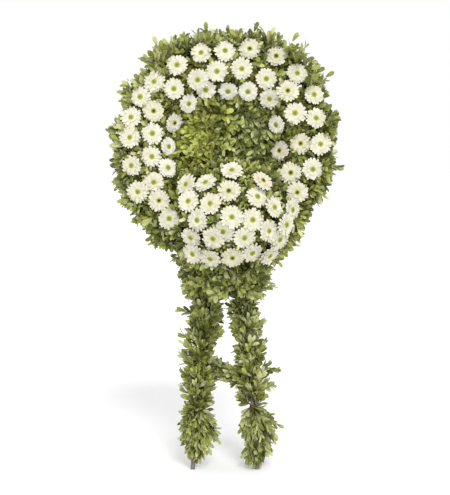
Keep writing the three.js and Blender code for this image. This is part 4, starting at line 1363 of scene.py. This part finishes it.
BROOMS = [
    # name, side, waist, bottom, sprigs, bare share of each sprig
    ("left_lower", -1, 230, 44, 86, 0.16),
    ("right_lower", 1, 246, 24, 92, 0.32),
]
STRAYS = [
    # garland, height on the leg, to the left or right, how far, rise
    ("left_upper", 618, -1, 118, 26),
    ("left_upper", 500, 1, 92, 60),
    ("right_upper", 706, 1, 122, 40),
    ("right_upper", 392, 1, 122, 14),
    ("right_middle", 330, 1, 104, 20),
]
GARLAND_LEAVES, BROOM_LEAVES, STRAY_LEAVES = 7, 8, 7
FRONT_REACH, LEG_JITTER = 0.9, 0.25
LEG_FACING = [0.0, 0.1, 0.4]

print(sum(row[-1] for row in GARLANDS), "sprigs in garlands,", sum(row[4] for row in BROOMS), "in brooms")


# %% Lines and reach of the front legs
def leg_point(side, height):
    """A point on a front leg's axis at a height above the floor."""
    height = np.asarray(height, dtype=float)
    across = side * (LEG_SPREAD - LEG_TAPER * height)
    up = (height - RING_HEIGHT - LEG_OUT * math.sin(LEAN)) / math.cos(LEAN)
    return np.stack([across, up, np.full_like(height, LEG_OUT)], axis=-1)


def leg_reach(side, heights, outwards):
    """How far the foliage reaches at each height: its left or right half-width, whichever the sprig
    points to, and somewhat less where it points to the front or back."""
    rows, left, right = np.array(LEG_OUTLINE[side], dtype=float).T
    to_left, to_right = np.interp(heights, rows, left), np.interp(heights, rows, right)
    aside = outwards[:, 0]
    mean = (to_left + to_right) / 2 * FRONT_REACH
    return np.where(aside < 0, to_left, to_right) * np.abs(aside) + mean * (1 - np.abs(aside))


def square_pair(axis):
    """Two directions square to a rod or leg: one that lies across, and one that looks to the front."""
    across = unit(np.cross(axis, FRONT))
    return across, np.cross(across, axis)


def round_leg(side, count, down, rng):
    """The leg's direction, and directions square to it, each turned on by the golden angle."""
    axis = unit(leg_point(side, 100.0) - leg_point(side, 0.0)) * (-1 if down else 1)
    turn = np.arange(count) * GOLDEN + rng.normal(size=count) * LEG_JITTER
    return axis, swing(*square_pair(axis), turn)


# %% Garlands and strays
# Sprigs of a garland start below its bottom, because they slant upwards, and start a little off the
# tube. They are as long as it takes to reach the outline somewhat above their start.
GARLAND_BELOW, GARLAND_SHORT, GARLAND_JITTER, GARLAND_OFF = 46, 10, 4, 8
GARLAND_SLANT, GARLAND_ABOVE, GARLAND_INSIDE = (36, 66), 30, 34
GARLAND_LEAST, GARLAND_MOST, GARLAND_UNEVEN = 30, 96, (0.72, 1.04)


def garland_set(side, top, bottom, count, seed):
    """Sprigs that leave the leg at even heights, at a slant upwards, and reach the outline."""
    rng = np.random.default_rng(seed)
    even = np.linspace(bottom - GARLAND_BELOW, top - GARLAND_SHORT, count)
    at = even + rng.normal(size=count) * GARLAND_JITTER
    axis, outwards = round_leg(side, count, False, rng)
    slant = np.radians(spread(*GARLAND_SLANT, count, rng))
    reach = leg_reach(side, at + GARLAND_ABOVE, outwards) - GARLAND_INSIDE
    length = np.clip(reach / np.cos(slant), GARLAND_LEAST, GARLAND_MOST) * spread(*GARLAND_UNEVEN, count, rng)
    return sprigs(leg_point(side, at) + outwards * GARLAND_OFF, swing(outwards, axis, slant),
                  outwards + LEG_FACING, length, GARLAND_LEAVES, 50.0, lift=0.10, tone=0.46, rng=rng,
                  young=0.05, open_from=54, open_to=12, slender=0.35)


STRAY_OUT, STRAY_SHORT = 18.0, 22


def stray_set(name, side, seed):
    """The few sprigs of a garland that stand well clear of it."""
    rng = np.random.default_rng(seed)
    mine = [row for row in STRAYS if row[0] == name]
    base = np.array([leg_point(side, height) for _, height, *_ in mine])
    step = np.array([[way * far, rise, STRAY_OUT] for _, _, way, far, rise in mine])
    return sprigs(base, step, [0.0, 0.3, 1.0], np.linalg.norm(step, axis=-1) - STRAY_SHORT, STRAY_LEAVES,
                  46.0, lift=0.06, tone=0.42, rng=rng, open_from=48, open_to=14, bare=0.4)


# %% Brooms
# A broom's sprigs end at even heights from the waist down. The further below the waist one is tied,
# the further it stands off the leg.
BROOM_OVERRUN, BROOM_LEAST_DROP, TIE_ABOVE, TIE_LENGTH = 1.06, 18, 12, (64, 122)
BROOM_OFF, BROOM_FLARE, BROOM_FLARE_MOST = 9, 0.25, 60
BROOM_INSIDE, BROOM_LEAST, BROOM_MOST, BROOM_TIP_ABOVE, BROOM_TOSS = 20, 14, 110, 8, 5


def broom_set(side, waist, bottom, count, bare, seed):
    """Sprigs tied at the waist that hang down round the leg: each ends at its own height between the
    waist and the bottom, on the outline of that height."""
    rng = np.random.default_rng(seed)
    outwards = round_leg(side, count, True, rng)[1]
    end = waist - (waist - bottom) * (np.arange(count) + 0.5) / count * BROOM_OVERRUN
    end = np.clip(end, bottom, waist - BROOM_LEAST_DROP)
    tie = np.minimum(waist + TIE_ABOVE, end + spread(*TIE_LENGTH, count, rng))
    reach = np.clip(leg_reach(side, end, outwards) - BROOM_INSIDE, BROOM_LEAST, BROOM_MOST)
    off = BROOM_OFF + BROOM_FLARE * np.clip(waist - tie, 0, BROOM_FLARE_MOST)
    base = leg_point(side, tie) + outwards * off[:, None]
    tip = leg_point(side, end + BROOM_TIP_ABOVE) + outwards * reach[:, None]
    heading = unit(tip - base + rng.normal(size=tip.shape) * BROOM_TOSS)
    return sprigs(base, heading, outwards + LEG_FACING, np.linalg.norm(tip - base, axis=-1), BROOM_LEAVES,
                  48.0, lift=-0.04, tone=0.46, rng=rng, young=0.06, open_from=44, open_to=10, slender=0.35,
                  bare=bare)


# %% Foliage of the legs
for index, (name, side, top, bottom, count) in enumerate(GARLANDS):
    grown_sets = [garland_set(side, top, bottom, count, 60 + index)]
    if any(row[0] == name for row in STRAYS):
        grown_sets.append(stray_set(name, side, 80 + index))
    foliage_piece(f"leg_leaves_{name}", f"leg_foliage_{name}", *grown_sets)

for index, (name, side, waist, bottom, count, bare) in enumerate(BROOMS):
    foliage_piece(f"leg_leaves_{name}", f"leg_foliage_{name}",
                  broom_set(side, waist, bottom, count, bare, 70 + index))
print("leg foliage made:", len(GARLANDS), "garlands and", len(BROOMS), "brooms")

# %% Neck sprigs
NECK_TOP, NECK_HEIGHT, NECK_OUT, NECK_FLAT = -412, 160, -12, 0.44
NECK_TOP_WIDTH, NECK_BOTTOM_WIDTH, NECK_INSIDE, NECK_ABOVE = 140, 96, 0.9, 10
NECK_SPRIGS, NECK_LEAVES, NECK_LENGTH = 170, 8, (44, 68)
NECK_DROP, NECK_SWING, NECK_FORWARD = (-0.9, 0.15), 0.3, 0.8


def neck_set():
    """Sprigs round a tapering oval bunch, from its top down, hanging outwards and down."""
    rng = np.random.default_rng(53)
    fall = (np.arange(NECK_SPRIGS) + 0.5) / NECK_SPRIGS
    around = np.arange(NECK_SPRIGS) * GOLDEN
    width = between(NECK_TOP_WIDTH, NECK_BOTTOM_WIDTH, fall) * NECK_INSIDE
    outwards = np.stack([np.sin(around), 0 * around, np.cos(around)], axis=-1)
    base = np.stack([width * outwards[:, 0], NECK_TOP + NECK_ABOVE - fall * NECK_HEIGHT,
                     NECK_OUT + width * NECK_FLAT * outwards[:, 2]], axis=-1)
    drop = spread(*NECK_DROP, NECK_SPRIGS, rng)
    hang = np.stack([rng.normal(size=NECK_SPRIGS) * NECK_SWING, drop, 0 * drop], axis=-1)
    heading = outwards * [1.0, 1.0, NECK_FORWARD] + hang
    return sprigs(base, heading, outwards + [0.0, 0.15, 0.25], spread(*NECK_LENGTH, NECK_SPRIGS, rng),
                  NECK_LEAVES, 50.0, lift=0.08, tone=0.55, rng=rng, young=0.2)


foliage_piece("neck_leaves", "neck_foliage", neck_set())
print("neck foliage made of", NECK_SPRIGS, "sprigs")

# %% [markdown]
# ## The crosspiece
# A thin arched brace joins the front legs below the knee, and its middle is wrapped in a few sprigs.

# %% Brace curve and its sprigs
ROD_RADIUS, ROD_GAP, BRACE_GAP = 5.0, 2, 4
BRACE_HEIGHTS, BRACE_ARCH = (415, 345), 12
CROSS_SPRIGS, CROSS_LEAVES, CROSS_LENGTH = 46, 7, (28, 46)
CROSS_FROM, CROSS_BACK, CROSS_OFF = 0.04, (1.6, 2.8), 4


def between_tubes(start, end, gap):
    """The ends of a rod that stops just short of the tubes that it is welded to."""
    step = unit(end - start) * (TUBE_RADIUS + gap)
    return start + step, end - step


brace_left, brace_right = between_tubes(leg_point(-1, BRACE_HEIGHTS[0]), leg_point(1, BRACE_HEIGHTS[1]),
                                        BRACE_GAP)
brace_middle = (brace_left + brace_right) / 2 + [0, 2 * BRACE_ARCH, 0]


def brace_point(t):
    """A curve of three points: left end, raised middle, right end."""
    return curve(brace_left, brace_middle, brace_right, t[:, None])


def crosspiece_set():
    """Short sprigs round the whole brace, lying back along it."""
    rng = np.random.default_rng(59)
    at = np.linspace(CROSS_FROM, 1.0, CROSS_SPRIGS)
    axis = unit(brace_left - brace_right)
    outwards = swing(*square_pair(axis), np.arange(CROSS_SPRIGS) * GOLDEN)
    heading = outwards + axis * spread(*CROSS_BACK, (CROSS_SPRIGS, 1), rng)
    return sprigs(brace_point(at) + outwards * CROSS_OFF, heading, outwards + 0.4 * FRONT,
                  spread(*CROSS_LENGTH, CROSS_SPRIGS, rng), CROSS_LEAVES, 42.0, lift=0.0, tone=0.42, rng=rng,
                  open_from=44, open_to=14)


foliage_piece("crosspiece_leaves", "crosspiece_foliage", crosspiece_set())
print("brace", round(float(np.linalg.norm(brace_right - brace_left))), "mm long, with its foliage")

# %% [markdown]
# ## Straw
# The ring is a bundle of straw bound round and round with twine, and the pad in its hole is flat straw
# stitched across. The bundle's surface is a ring whose section swells between the turns of twine, with
# loose straws lying along it. Straw is dry and pale, streaked along its length.


# %% Straw, twine and foam finishes
def straw_finish():
    """Each straw's tone, with fine streaks."""
    recipe = Recipe("straw", Specular_IOR_Level=0.35)
    streak = recipe.noise(recipe.on_object(), 700.0, 3.0, 0.6)
    patch = recipe.noise(recipe.on_object(), 45.0, 3.0)
    level = (recipe.number("tone") + (patch - 0.5) * 0.5 + (streak - 0.5) * 0.4).clamped()
    colour = recipe.ramp(level, [(0.0, paint(118, 92, 48)), (0.4, paint(172, 142, 84)),
                                 (0.75, paint(206, 180, 118)), (1.0, paint(226, 206, 150))])
    return recipe.done(colour, 0.6 + streak * 0.25, streak + patch, depth=0.0012, strength=0.7)


def twine_finish():
    """Twisted fibres: a slanting wave."""
    recipe = Recipe("twine", Specular_IOR_Level=0.2)
    ply = recipe.add("ShaderNodeTexWave", {"wave_type": "BANDS", "bands_direction": "DIAGONAL"},
                     {"Vector": recipe.on_object(), "Scale": 110.0, "Distortion": 2.0}, "Fac")
    colour = recipe.mix(ply, paint(92, 84, 54), paint(140, 128, 88))
    return recipe.done(colour, 0.8 + ply * 0.1, ply, depth=0.0006)


def foam_finish():
    """Fine open cells in wet green foam."""
    recipe = Recipe("floral_foam", Specular_IOR_Level=0.2)
    sockets = {"Vector": recipe.on_object(), "Scale": 420.0}
    cells = recipe.add("ShaderNodeTexVoronoi", None, sockets, "Distance")
    patch = recipe.noise(recipe.on_object(), 60.0, 3.0)
    colour = recipe.mix(patch, paint(50, 76, 44), paint(82, 112, 66))
    colour = recipe.mix(cells * 0.6, colour, paint(40, 60, 36))
    return recipe.done(colour, 0.85 + patch * 0.1, cells, depth=0.0012, strength=0.8)


STRAW = straw_finish()
TWINE = twine_finish()
FOAM = foam_finish()
print("straw finishes:", [m.name for m in (STRAW, TWINE, FOAM)])

# %% The straw ring and its twine
BUNDLE_ROWS, BUNDLE_COLUMNS, LUMP_ROWS, LUMP_COLUMNS = 348, 40, 6, 2
BUNDLE_SUNK, PINCH, STRAND, LUMP, UNEVEN = 2.6, 1.3, 1.4, 0.9, 0.35
BUNDLE_TONE, LUMP_PALER, STRAND_PALER = 0.42, 0.12, 0.06
TWINE_TURNS, TWINE_STEPS, TWINE_RADIUS, TWINE_SUNK = 58, 22, 1.4, 1.2
TWINE_GUIDE = [0.2, 0.3, 0.93]
LOOSE_STRAWS, STRAW_LENGTH, STRAW_BEND, STRAW_SUNK = 620, (50, 120), (0.1, 0.3), 1.4
STRAW_ASKEW, STRAW_LIFT = 0.16, (0.0, 0.07)
STRAW_WIDTH, STRAW_CUP, STRAW_TONE = (2.2, 3.6), 0.2, (0.3, 1.0)
BINDING_SHARP = 50


def even_angles(rows, columns):
    """Every pair of an even angle round a ring and an even angle round its tube."""
    return np.meshgrid(np.arange(rows) / rows * FULL_TURN, np.arange(columns) / columns * FULL_TURN,
                       indexing="ij")


def ring_point(around, section, radius):
    """On the ring's tube: the section's angle starts at its outer side and turns to the front."""
    distance = STRAW_MAJOR + radius * np.cos(section)
    return clock_point(np.degrees(around), distance, radius * np.sin(section))


def straw_ring_parts():
    """The bundle swells by a wave of the twine's turns, by strands along it and by lumps. The twine
    winds round it once a turn. Loose straws lie along the bundle, slightly askew."""
    rng = np.random.default_rng(67)
    around, section = even_angles(BUNDLE_ROWS, BUNDLE_COLUMNS)
    lumps = rng.normal(size=(BUNDLE_ROWS // LUMP_ROWS, BUNDLE_COLUMNS // LUMP_COLUMNS))
    lumps = lumps.repeat(LUMP_ROWS, axis=0).repeat(LUMP_COLUMNS, axis=1) * LUMP
    strands = (np.arange(BUNDLE_COLUMNS) % 2) * STRAND + rng.normal(size=around.shape) * UNEVEN
    pinch = PINCH * np.cos(TWINE_TURNS * around - section)
    tone = np.clip(BUNDLE_TONE + lumps * LUMP_PALER + strands * STRAND_PALER, 0, 1)
    surface = ring_point(around, section, STRAW_TUBE - BUNDLE_SUNK + pinch + strands + lumps)
    bundle = closed_grid(surface[:, ::-1], tone=tone[:, ::-1].ravel())
    wind = np.arange(TWINE_TURNS * TWINE_STEPS) / (TWINE_TURNS * TWINE_STEPS) * FULL_TURN
    path = ring_point(wind, TWINE_TURNS * wind + np.pi, STRAW_TUBE - TWINE_SUNK)
    twine = tubes(np.concatenate([path, path[:1]])[None], TWINE_RADIUS, 5, TWINE_GUIDE, finish=1)
    at, turn = rng.random(LOOSE_STRAWS) * FULL_TURN, rng.random(LOOSE_STRAWS) * FULL_TURN
    normal = unit(ring_point(at, turn, STRAW_TUBE) - ring_point(at, turn, 0.0))
    sense = np.where(rng.random(LOOSE_STRAWS) < 0.5, -1, 1)[:, None]
    tangent = clock_point(np.degrees(at) + 90, 1.0, 0.0) * sense
    askew = np.cross(tangent, normal) * rng.normal(size=(LOOSE_STRAWS, 1)) * STRAW_ASKEW
    along = unit(tangent + askew + normal * spread(*STRAW_LIFT, (LOOSE_STRAWS, 1), rng))
    straws = blades(
        ring_point(at, turn, STRAW_TUBE - STRAW_SUNK), along, normal,
        spread(*STRAW_LENGTH, LOOSE_STRAWS, rng), spread(*STRAW_WIDTH, LOOSE_STRAWS, rng), STRAW_OUTLINE,
        STRAW_THICKNESS, bend=spread(*STRAW_BEND, LOOSE_STRAWS, rng), cup=STRAW_CUP,
        tone=spread(*STRAW_TONE, LOOSE_STRAWS, rng))
    return [bundle, twine, straws]


piece("bound_straw_ring", straw_ring_parts(), [STRAW, TWINE], ["straw_ring"], sharp=BINDING_SHARP)

# %% The pad and the foam
PAD_RADIUS, PAD_FRONT, PAD_BACK, PAD_SIDES, PAD_WOBBLE = 218, 0, -58, 96, 0.9
PAD_HOLE, PAD_ROUND, PAD_BULGE, BACK_INSET, FRONT_INSET = 4, 14, 12.5, 1.5, 2.5
STITCH_STEP, STITCH_RINGS, STITCH_RADIUS, STITCH_WAVES = 42.0, 4, 1.3, 24
DIMPLE, DIMPLE_NARROW = 2.4, 0.93
PAD_STRAWS, PAD_STRAW_LENGTH, PAD_STREWN, PAD_STRAW_OUT = 520, (30, 46), 0.8, 1.8
FOAM_SIDES, FOAM_INSET, FOAM_ROUGH, FOAM_OFF = 64, 1.5, 0.003, 0.4


def pad_parts():
    """A thick disc with a rounded edge, dimpled along its rings of stitches. Loose straws cover its back,
    and each ring of stitches goes in and out as a wave."""
    rng = np.random.default_rng(71)
    edge = np.linspace(-np.pi / 2, np.pi / 2, 9)
    half, middle = (PAD_FRONT - PAD_BACK) / 2, (PAD_FRONT + PAD_BACK) / 2
    flat = np.linspace(PAD_HOLE, PAD_RADIUS - PAD_ROUND, 22)
    dimple = DIMPLE * (np.cos(flat / STITCH_STEP * FULL_TURN) > DIMPLE_NARROW)
    profile = np.concatenate([
        np.stack([flat, -half + BACK_INSET + dimple], axis=-1),
        np.stack([flat[-1] + PAD_BULGE * np.cos(edge), (half - BACK_INSET) * np.sin(edge)], axis=-1),
        np.stack([flat[::-1], half - FRONT_INSET - dimple[::-1]], axis=-1),
    ])
    disc = turned(profile, FRONT * middle, FRONT, PAD_SIDES)
    wobble = rng.normal(size=len(disc["points"])) * PAD_WOBBLE
    disc["points"] = disc["points"] + FRONT * wobble[:, None]
    disc["tone"] = np.clip(BUNDLE_TONE + wobble * 0.2, 0, 1)
    clock = rng.random(PAD_STRAWS) * 360
    distance = PAD_RADIUS * PAD_STREWN * np.sqrt(rng.random(PAD_STRAWS))
    along = clock_point(rng.random(PAD_STRAWS) * 360, 1.0, -0.02)
    straws = blades(
        clock_point(clock, distance, PAD_BACK + PAD_STRAW_OUT), along, np.tile(-FRONT, (PAD_STRAWS, 1)),
        spread(*PAD_STRAW_LENGTH, PAD_STRAWS, rng), spread(*STRAW_WIDTH, PAD_STRAWS, rng), STRAW_OUTLINE,
        STRAW_THICKNESS, bend=0.08, cup=STRAW_CUP, tone=spread(*STRAW_TONE, PAD_STRAWS, rng))
    angle = np.linspace(0, FULL_TURN, 90)
    radius = STITCH_STEP * np.arange(1, STITCH_RINGS + 1)[:, None]
    wave = PAD_BACK + 2.2 - np.cos(angle * STITCH_WAVES)
    rings = np.stack(np.broadcast_arrays(radius * np.sin(angle), radius * np.cos(angle), wave), axis=-1)
    return [disc, straws, tubes(rings, STITCH_RADIUS, 5, FRONT, finish=1)]


def foam_parts():
    """A flat-backed dome: half-axes of the foam, with a rounded foot and a slightly broken surface."""
    rng = np.random.default_rng(73)
    rise = np.linspace(0, np.pi / 2, 16)[1:-1]
    profile = np.concatenate([[[0.02, 0.0], [0.5, 0.0], [0.985, 0.0]],
                              np.stack([np.cos(rise), np.sin(rise)], axis=-1), [[0.03, 1.0]]])
    dome = turned(profile, np.zeros(3), FRONT, FOAM_SIDES)
    scale = np.array([*(FOAM_HALF - FOAM_INSET), FOAM_RISE - FOAM_INSET])
    rough = 1 + rng.normal(size=(len(dome["points"]), 1)) * FOAM_ROUGH
    dome["points"] = dome["points"] * scale * rough + [*DOME_MIDDLE, FOAM_BASE + FOAM_OFF]
    return [dome]


piece("stitched_pad", pad_parts(), [STRAW, TWINE], ["centre_pad"], sharp=BINDING_SHARP)
piece("foam_dome", foam_parts(), [FOAM], ["bouquet_foam"], sharp=BINDING_SHARP)
print("straw ring, pad and foam made")

# %% [markdown]
# ## The steel trestle
# Four thin tubes meet in a folded yoke at the top. Rods tie them together, a hoop carries the ring, and
# rubber caps keep the feet from slipping. The steel is dull and grey, with drawn lines along it, a few
# rust freckles and small weld beads where a rod meets a tube.


# %% Steel and rubber finishes
def steel_finish():
    """Lines along the height, and freckles of rust where a coarse noise is high."""
    recipe = Recipe("trestle_steel", Metallic=0.75)
    drawn = recipe.noise(recipe.on_object((1.0, 1.0, 0.06)), 900.0, 3.0)
    smear = recipe.noise(recipe.on_object(), 24.0, 3.0)
    rust = (recipe.noise(recipe.on_object(), 260.0, 4.0, 0.6) * 6 - 4).clamped()
    colour = recipe.mix(drawn, paint(112, 110, 104), paint(158, 156, 150))
    colour = recipe.mix(smear * 0.5, colour, paint(96, 92, 84))
    colour = recipe.mix(rust * 0.7, colour, paint(112, 74, 46))
    return recipe.done(colour, 0.34 + drawn * 0.2 + rust * 0.3, drawn + rust, strength=0.35)


def rubber_finish():
    """Grey-brown rubber, scuffed paler."""
    recipe = Recipe("foot_rubber", Specular_IOR_Level=0.4)
    grain = recipe.noise(recipe.on_object(), 500.0, 3.0)
    scuff = (recipe.noise(recipe.on_object(), 90.0, 3.0) * 3 - 1.4).clamped()
    colour = recipe.mix(grain, paint(92, 88, 80), paint(116, 110, 102))
    colour = recipe.mix(scuff * 0.4, colour, paint(150, 144, 134))
    return recipe.done(colour, 0.6 + grain * 0.2, grain, depth=0.0005, strength=0.5)


STEEL = steel_finish()
RUBBER = rubber_finish()
print("trestle finishes:", [m.name for m in (STEEL, RUBBER)])

# %% Lines of the rear legs
REAR_SPREAD, REAR_FOOT_BACK, REAR_TOP_SPREAD, REAR_TOP_BACK = 137, 593, 24, 42
YOKE_UP = leg_point(1, LEG_TOP)[1]


def rear_point(side, height):
    """A point on a rear leg: the straight line from its foot on the floor to its end in the yoke."""
    back, rise = REAR_FOOT_BACK - RING_HEIGHT * math.tan(LEAN), -RING_HEIGHT
    foot = np.array([side * REAR_SPREAD, back * math.sin(LEAN) + rise * math.cos(LEAN),
                     rise * math.sin(LEAN) - back * math.cos(LEAN)])
    top = np.array([side * REAR_TOP_SPREAD, YOKE_UP, LEG_OUT - REAR_TOP_BACK])
    return foot + (top - foot) * height / height_of(top)


# %% Rods, welds and caps
ROUND_SIDES, BEAD_SIDES, CAP_SIDES, CRISP = 18, 14, 28, 40
ROD_EDGE, ROD_SHOULDER, ROD_END = 0.6, 2, 0.9
CAP_RADIUS, CAP_LENGTH, CAP_FLOOR, FIT_GAP, CAP_RIM = 9, 44, 6, 0.6, 0.6
CAP_RIBS, RIB_HEIGHT, RIB_MARGIN = 13, 0.7, 8


def bead(centre, axis):
    """A weld: a low lumpy collar round the end of a rod."""
    profile = [(ROD_RADIUS * 0.6, -0.8), (ROD_RADIUS + 1.6, -0.2), (ROD_RADIUS + 2.2, 1.2),
               (ROD_RADIUS + 1.0, 2.8), (ROD_RADIUS * 0.7, 3.8)]
    return turned(profile, centre, axis, BEAD_SIDES, tone=0.4)


def rod(start, end, radius, steps):
    """A straight tube between two points, its ends slightly rounded."""
    along = unit(end - start)
    reach = np.linalg.norm(end - start)
    marks = np.concatenate([[0, ROD_EDGE], np.linspace(ROD_SHOULDER, reach - ROD_SHOULDER, steps),
                            [reach - ROD_EDGE, reach]])
    radii = np.full(len(marks), radius)
    radii[[0, -1]] = radius * ROD_END
    return tubes((start + marks[:, None] * along)[None], radii, ROUND_SIDES, clear_of(along, [1.0, 0.0, 0.0]))


def steel_piece(name, node, *parts):
    """Makes one piece of the trestle."""
    piece(name, parts, [STEEL], [node], sharp=CRISP)


def welded_piece(name, node, path, tube):
    """Makes a rod with a weld at each end of its path, looking along it."""
    first, last = unit(path[1] - path[0]), unit(path[-2] - path[-1])
    steel_piece(name, node, tube, bead(path[0], first), bead(path[-1], last))


def foot_cap(foot, above):
    """A ribbed sleeve with a flat sole: rings of the profile are pressed up to the floor where they
    would go below it."""
    ribs = np.linspace(RIB_MARGIN, CAP_LENGTH - RIB_MARGIN, CAP_RIBS)
    swell = CAP_RADIUS + FIT_GAP - RIB_HEIGHT + RIB_HEIGHT * (np.arange(CAP_RIBS) % 2)
    rim = CAP_RADIUS + CAP_RIM
    profile = [(CAP_RADIUS * 0.82, -CAP_RADIUS), (rim, -CAP_RADIUS + 1), (rim, 5), *zip(swell, ribs),
               (rim, CAP_LENGTH - 3), (CAP_RADIUS, CAP_LENGTH), (TUBE_RADIUS + 0.3, CAP_LENGTH)]
    cap = turned(profile, foot, unit(above - foot), CAP_SIDES)
    below = np.minimum(height_of(cap["points"]), 0.0)
    level = np.array([0.0, math.cos(LEAN), math.sin(LEAN)])
    cap["points"] = cap["points"] - below[:, None] * level
    return cap


# %% Tubes, rods and hoop
STAY_HEIGHTS = {-1: 231, 1: 250}
REAR_BAR_HEIGHT = 960
HOOP_STEPS, HOOP_SIDES, BRACE_STEPS = 120, 12, 24

for word, side in (("left", -1), ("right", 1)):
    for place, point in (("front", leg_point), ("rear", rear_point)):
        foot, above = point(side, 0.0), point(side, 100.0)
        start = foot + unit(above - foot) * (CAP_FLOOR + FIT_GAP)
        steel_piece(f"{place}_tube_{word}", f"{place}_leg_{word}",
                    rod(start, point(side, LEG_TOP), TUBE_RADIUS, steps=12))
        piece(f"{place}_rubber_cap_{word}", [foot_cap(foot, above)], [RUBBER],
              [f"{place}_foot_cap_{word}"], sharp=CRISP)
    height = STAY_HEIGHTS[side]
    ends = between_tubes(leg_point(side, height), rear_point(side, height), ROD_GAP)
    welded_piece(f"side_rod_{word}", f"side_stay_{word}", ends, rod(*ends, ROD_RADIUS, steps=8))

ends = between_tubes(rear_point(-1, REAR_BAR_HEIGHT), rear_point(1, REAR_BAR_HEIGHT), ROD_GAP)
welded_piece("rear_bar", "rear_crossbar", ends, rod(*ends, ROD_RADIUS, steps=4))

brace_path = brace_point(np.linspace(0, 1, BRACE_STEPS))
welded_piece("arched_brace", "front_brace", brace_path,
             tubes(brace_path[None], ROD_RADIUS, ROUND_SIDES, FRONT))

# The hoop is a round wire on the straw ring's circle, moved back behind it.
hoop = ring_point(*even_angles(HOOP_STEPS, HOOP_SIDES), HOOP_RADIUS) + FRONT * HOOP_OUT
steel_piece("wire_hoop", "ring_hoop", closed_grid(hoop[:, ::-1]))
print("trestle made, its front feet", round(float(leg_point(1, 0)[0] - leg_point(-1, 0)[0])), "mm apart")

# %% [markdown]
# ## The yoke
# The yoke is pressed steel with four sockets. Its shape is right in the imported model, but its edges are
# knife-sharp, so a welded copy gets a narrow bevel.

# %% Bevelled copy of the yoke
YOKE_BEVEL, YOKE_EDGE, YOKE_MERGE = 0.0014, math.radians(40), 1e-5
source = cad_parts["top_yoke"]
yoke_mesh = source.data.copy()
yoke_mesh.transform(source.matrix_world)
shell = bmesh.new()
shell.from_mesh(yoke_mesh)
bmesh.ops.remove_doubles(shell, verts=shell.verts, dist=YOKE_MERGE)
shell.to_mesh(yoke_mesh)
shell.free()
yoke_mesh.materials.clear()
yoke_mesh.materials.append(STEEL)
yoke = bpy.data.objects.new("folded_yoke", yoke_mesh)
bpy.context.scene.collection.objects.link(yoke)
bevel = yoke.modifiers.new("soft_edges", "BEVEL")
bevel.width = YOKE_BEVEL
bevel.segments = 2
bevel.limit_method = "ANGLE"
bevel.angle_limit = YOKE_EDGE
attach(yoke, "root")
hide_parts("top_yoke")
print("yoke has", len(yoke_mesh.polygons), "faces before its bevel")

# %% [markdown]
# ## Floor, light and camera
# The piece stands in a plain white studio. Light comes from everywhere, with a soft key from the front
# right and above that gives the leaves their gloss and the floor its pale shadow, and a faint broad fill
# from low on the front left. The camera stands well back, a little above the ring's centre, and looks
# slightly down.


# %% Floor and light
FLOOR_HALF = 30.0


def floor_finish():
    """Matt, a shade under white, with the faintest grain."""
    recipe = Recipe("studio_floor", Specular_IOR_Level=0.1)
    grain = recipe.noise(recipe.on_object(), 3.0, 2.0)
    return recipe.done(recipe.mix(grain, paint(241, 241, 242), paint(244, 244, 245)), 0.9)


def flat_floor(half):
    """One square face below everything."""
    mesh = bpy.data.meshes.new("floor")
    corners = [(-half, -half, 0), (half, -half, 0), (half, half, 0), (-half, half, 0)]
    mesh.from_pydata(corners, [], [(0, 1, 2, 3)])
    mesh.materials.append(floor_finish())
    floor = bpy.data.objects.new("floor", mesh)
    bpy.context.scene.collection.objects.link(floor)
    return floor


flat_floor(FLOOR_HALF)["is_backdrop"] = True

world = bpy.data.worlds.new("studio")
bpy.context.scene.world = world
world.use_nodes = True
background = world.node_tree.nodes["Background"]
background.inputs["Color"].default_value = (1.0, 1.0, 1.0, 1.0)
background.inputs["Strength"].default_value = 1.0

LIGHTS = [
    # name, strength, softness, how far from straight down, how far to the right
    ("key", 1.8, 20, 50, 12),
    ("fill", 0.3, 70, 84, -12),
]
for name, strength, softness, lean, turn in LIGHTS:
    light = bpy.data.objects.new(name, bpy.data.lights.new(name, "SUN"))
    light.data.energy = strength
    light.data.angle = math.radians(softness)
    light.rotation_euler = (math.radians(lean), 0.0, math.radians(turn))
    bpy.context.scene.collection.objects.link(light)
print("floor and", len(LIGHTS), "lights made")

# %% Camera
CAMERA_BACK, CAMERA_HEIGHT, CAMERA_DIP = 5.5, 1.386, math.radians(5.16)
SENSOR, LENS = 36.0, 97.6
camera = bpy.data.objects.new("camera", bpy.data.cameras.new("camera"))
camera.data.sensor_fit = "VERTICAL"
camera.data.sensor_width = SENSOR
camera.data.sensor_height = SENSOR
camera.data.lens = LENS
camera.location = (RING_CENTRE[0], -CAMERA_BACK, CAMERA_HEIGHT)
camera.rotation_euler = (math.pi / 2 - CAMERA_DIP, 0.0, 0.0)
bpy.context.scene.collection.objects.link(camera)
bpy.context.scene.camera = camera
bpy.context.scene.view_settings.view_transform = "Standard"
print("camera at", tuple(round(c, 3) for c in camera.location))

# %% Triangle count
bpy.context.view_layer.update()
triangles = [sum(len(p.vertices) - 2 for p in o.data.polygons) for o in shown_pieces() if o.type == "MESH"]
print("triangles in all", sum(triangles), "most in a piece", max(triangles))
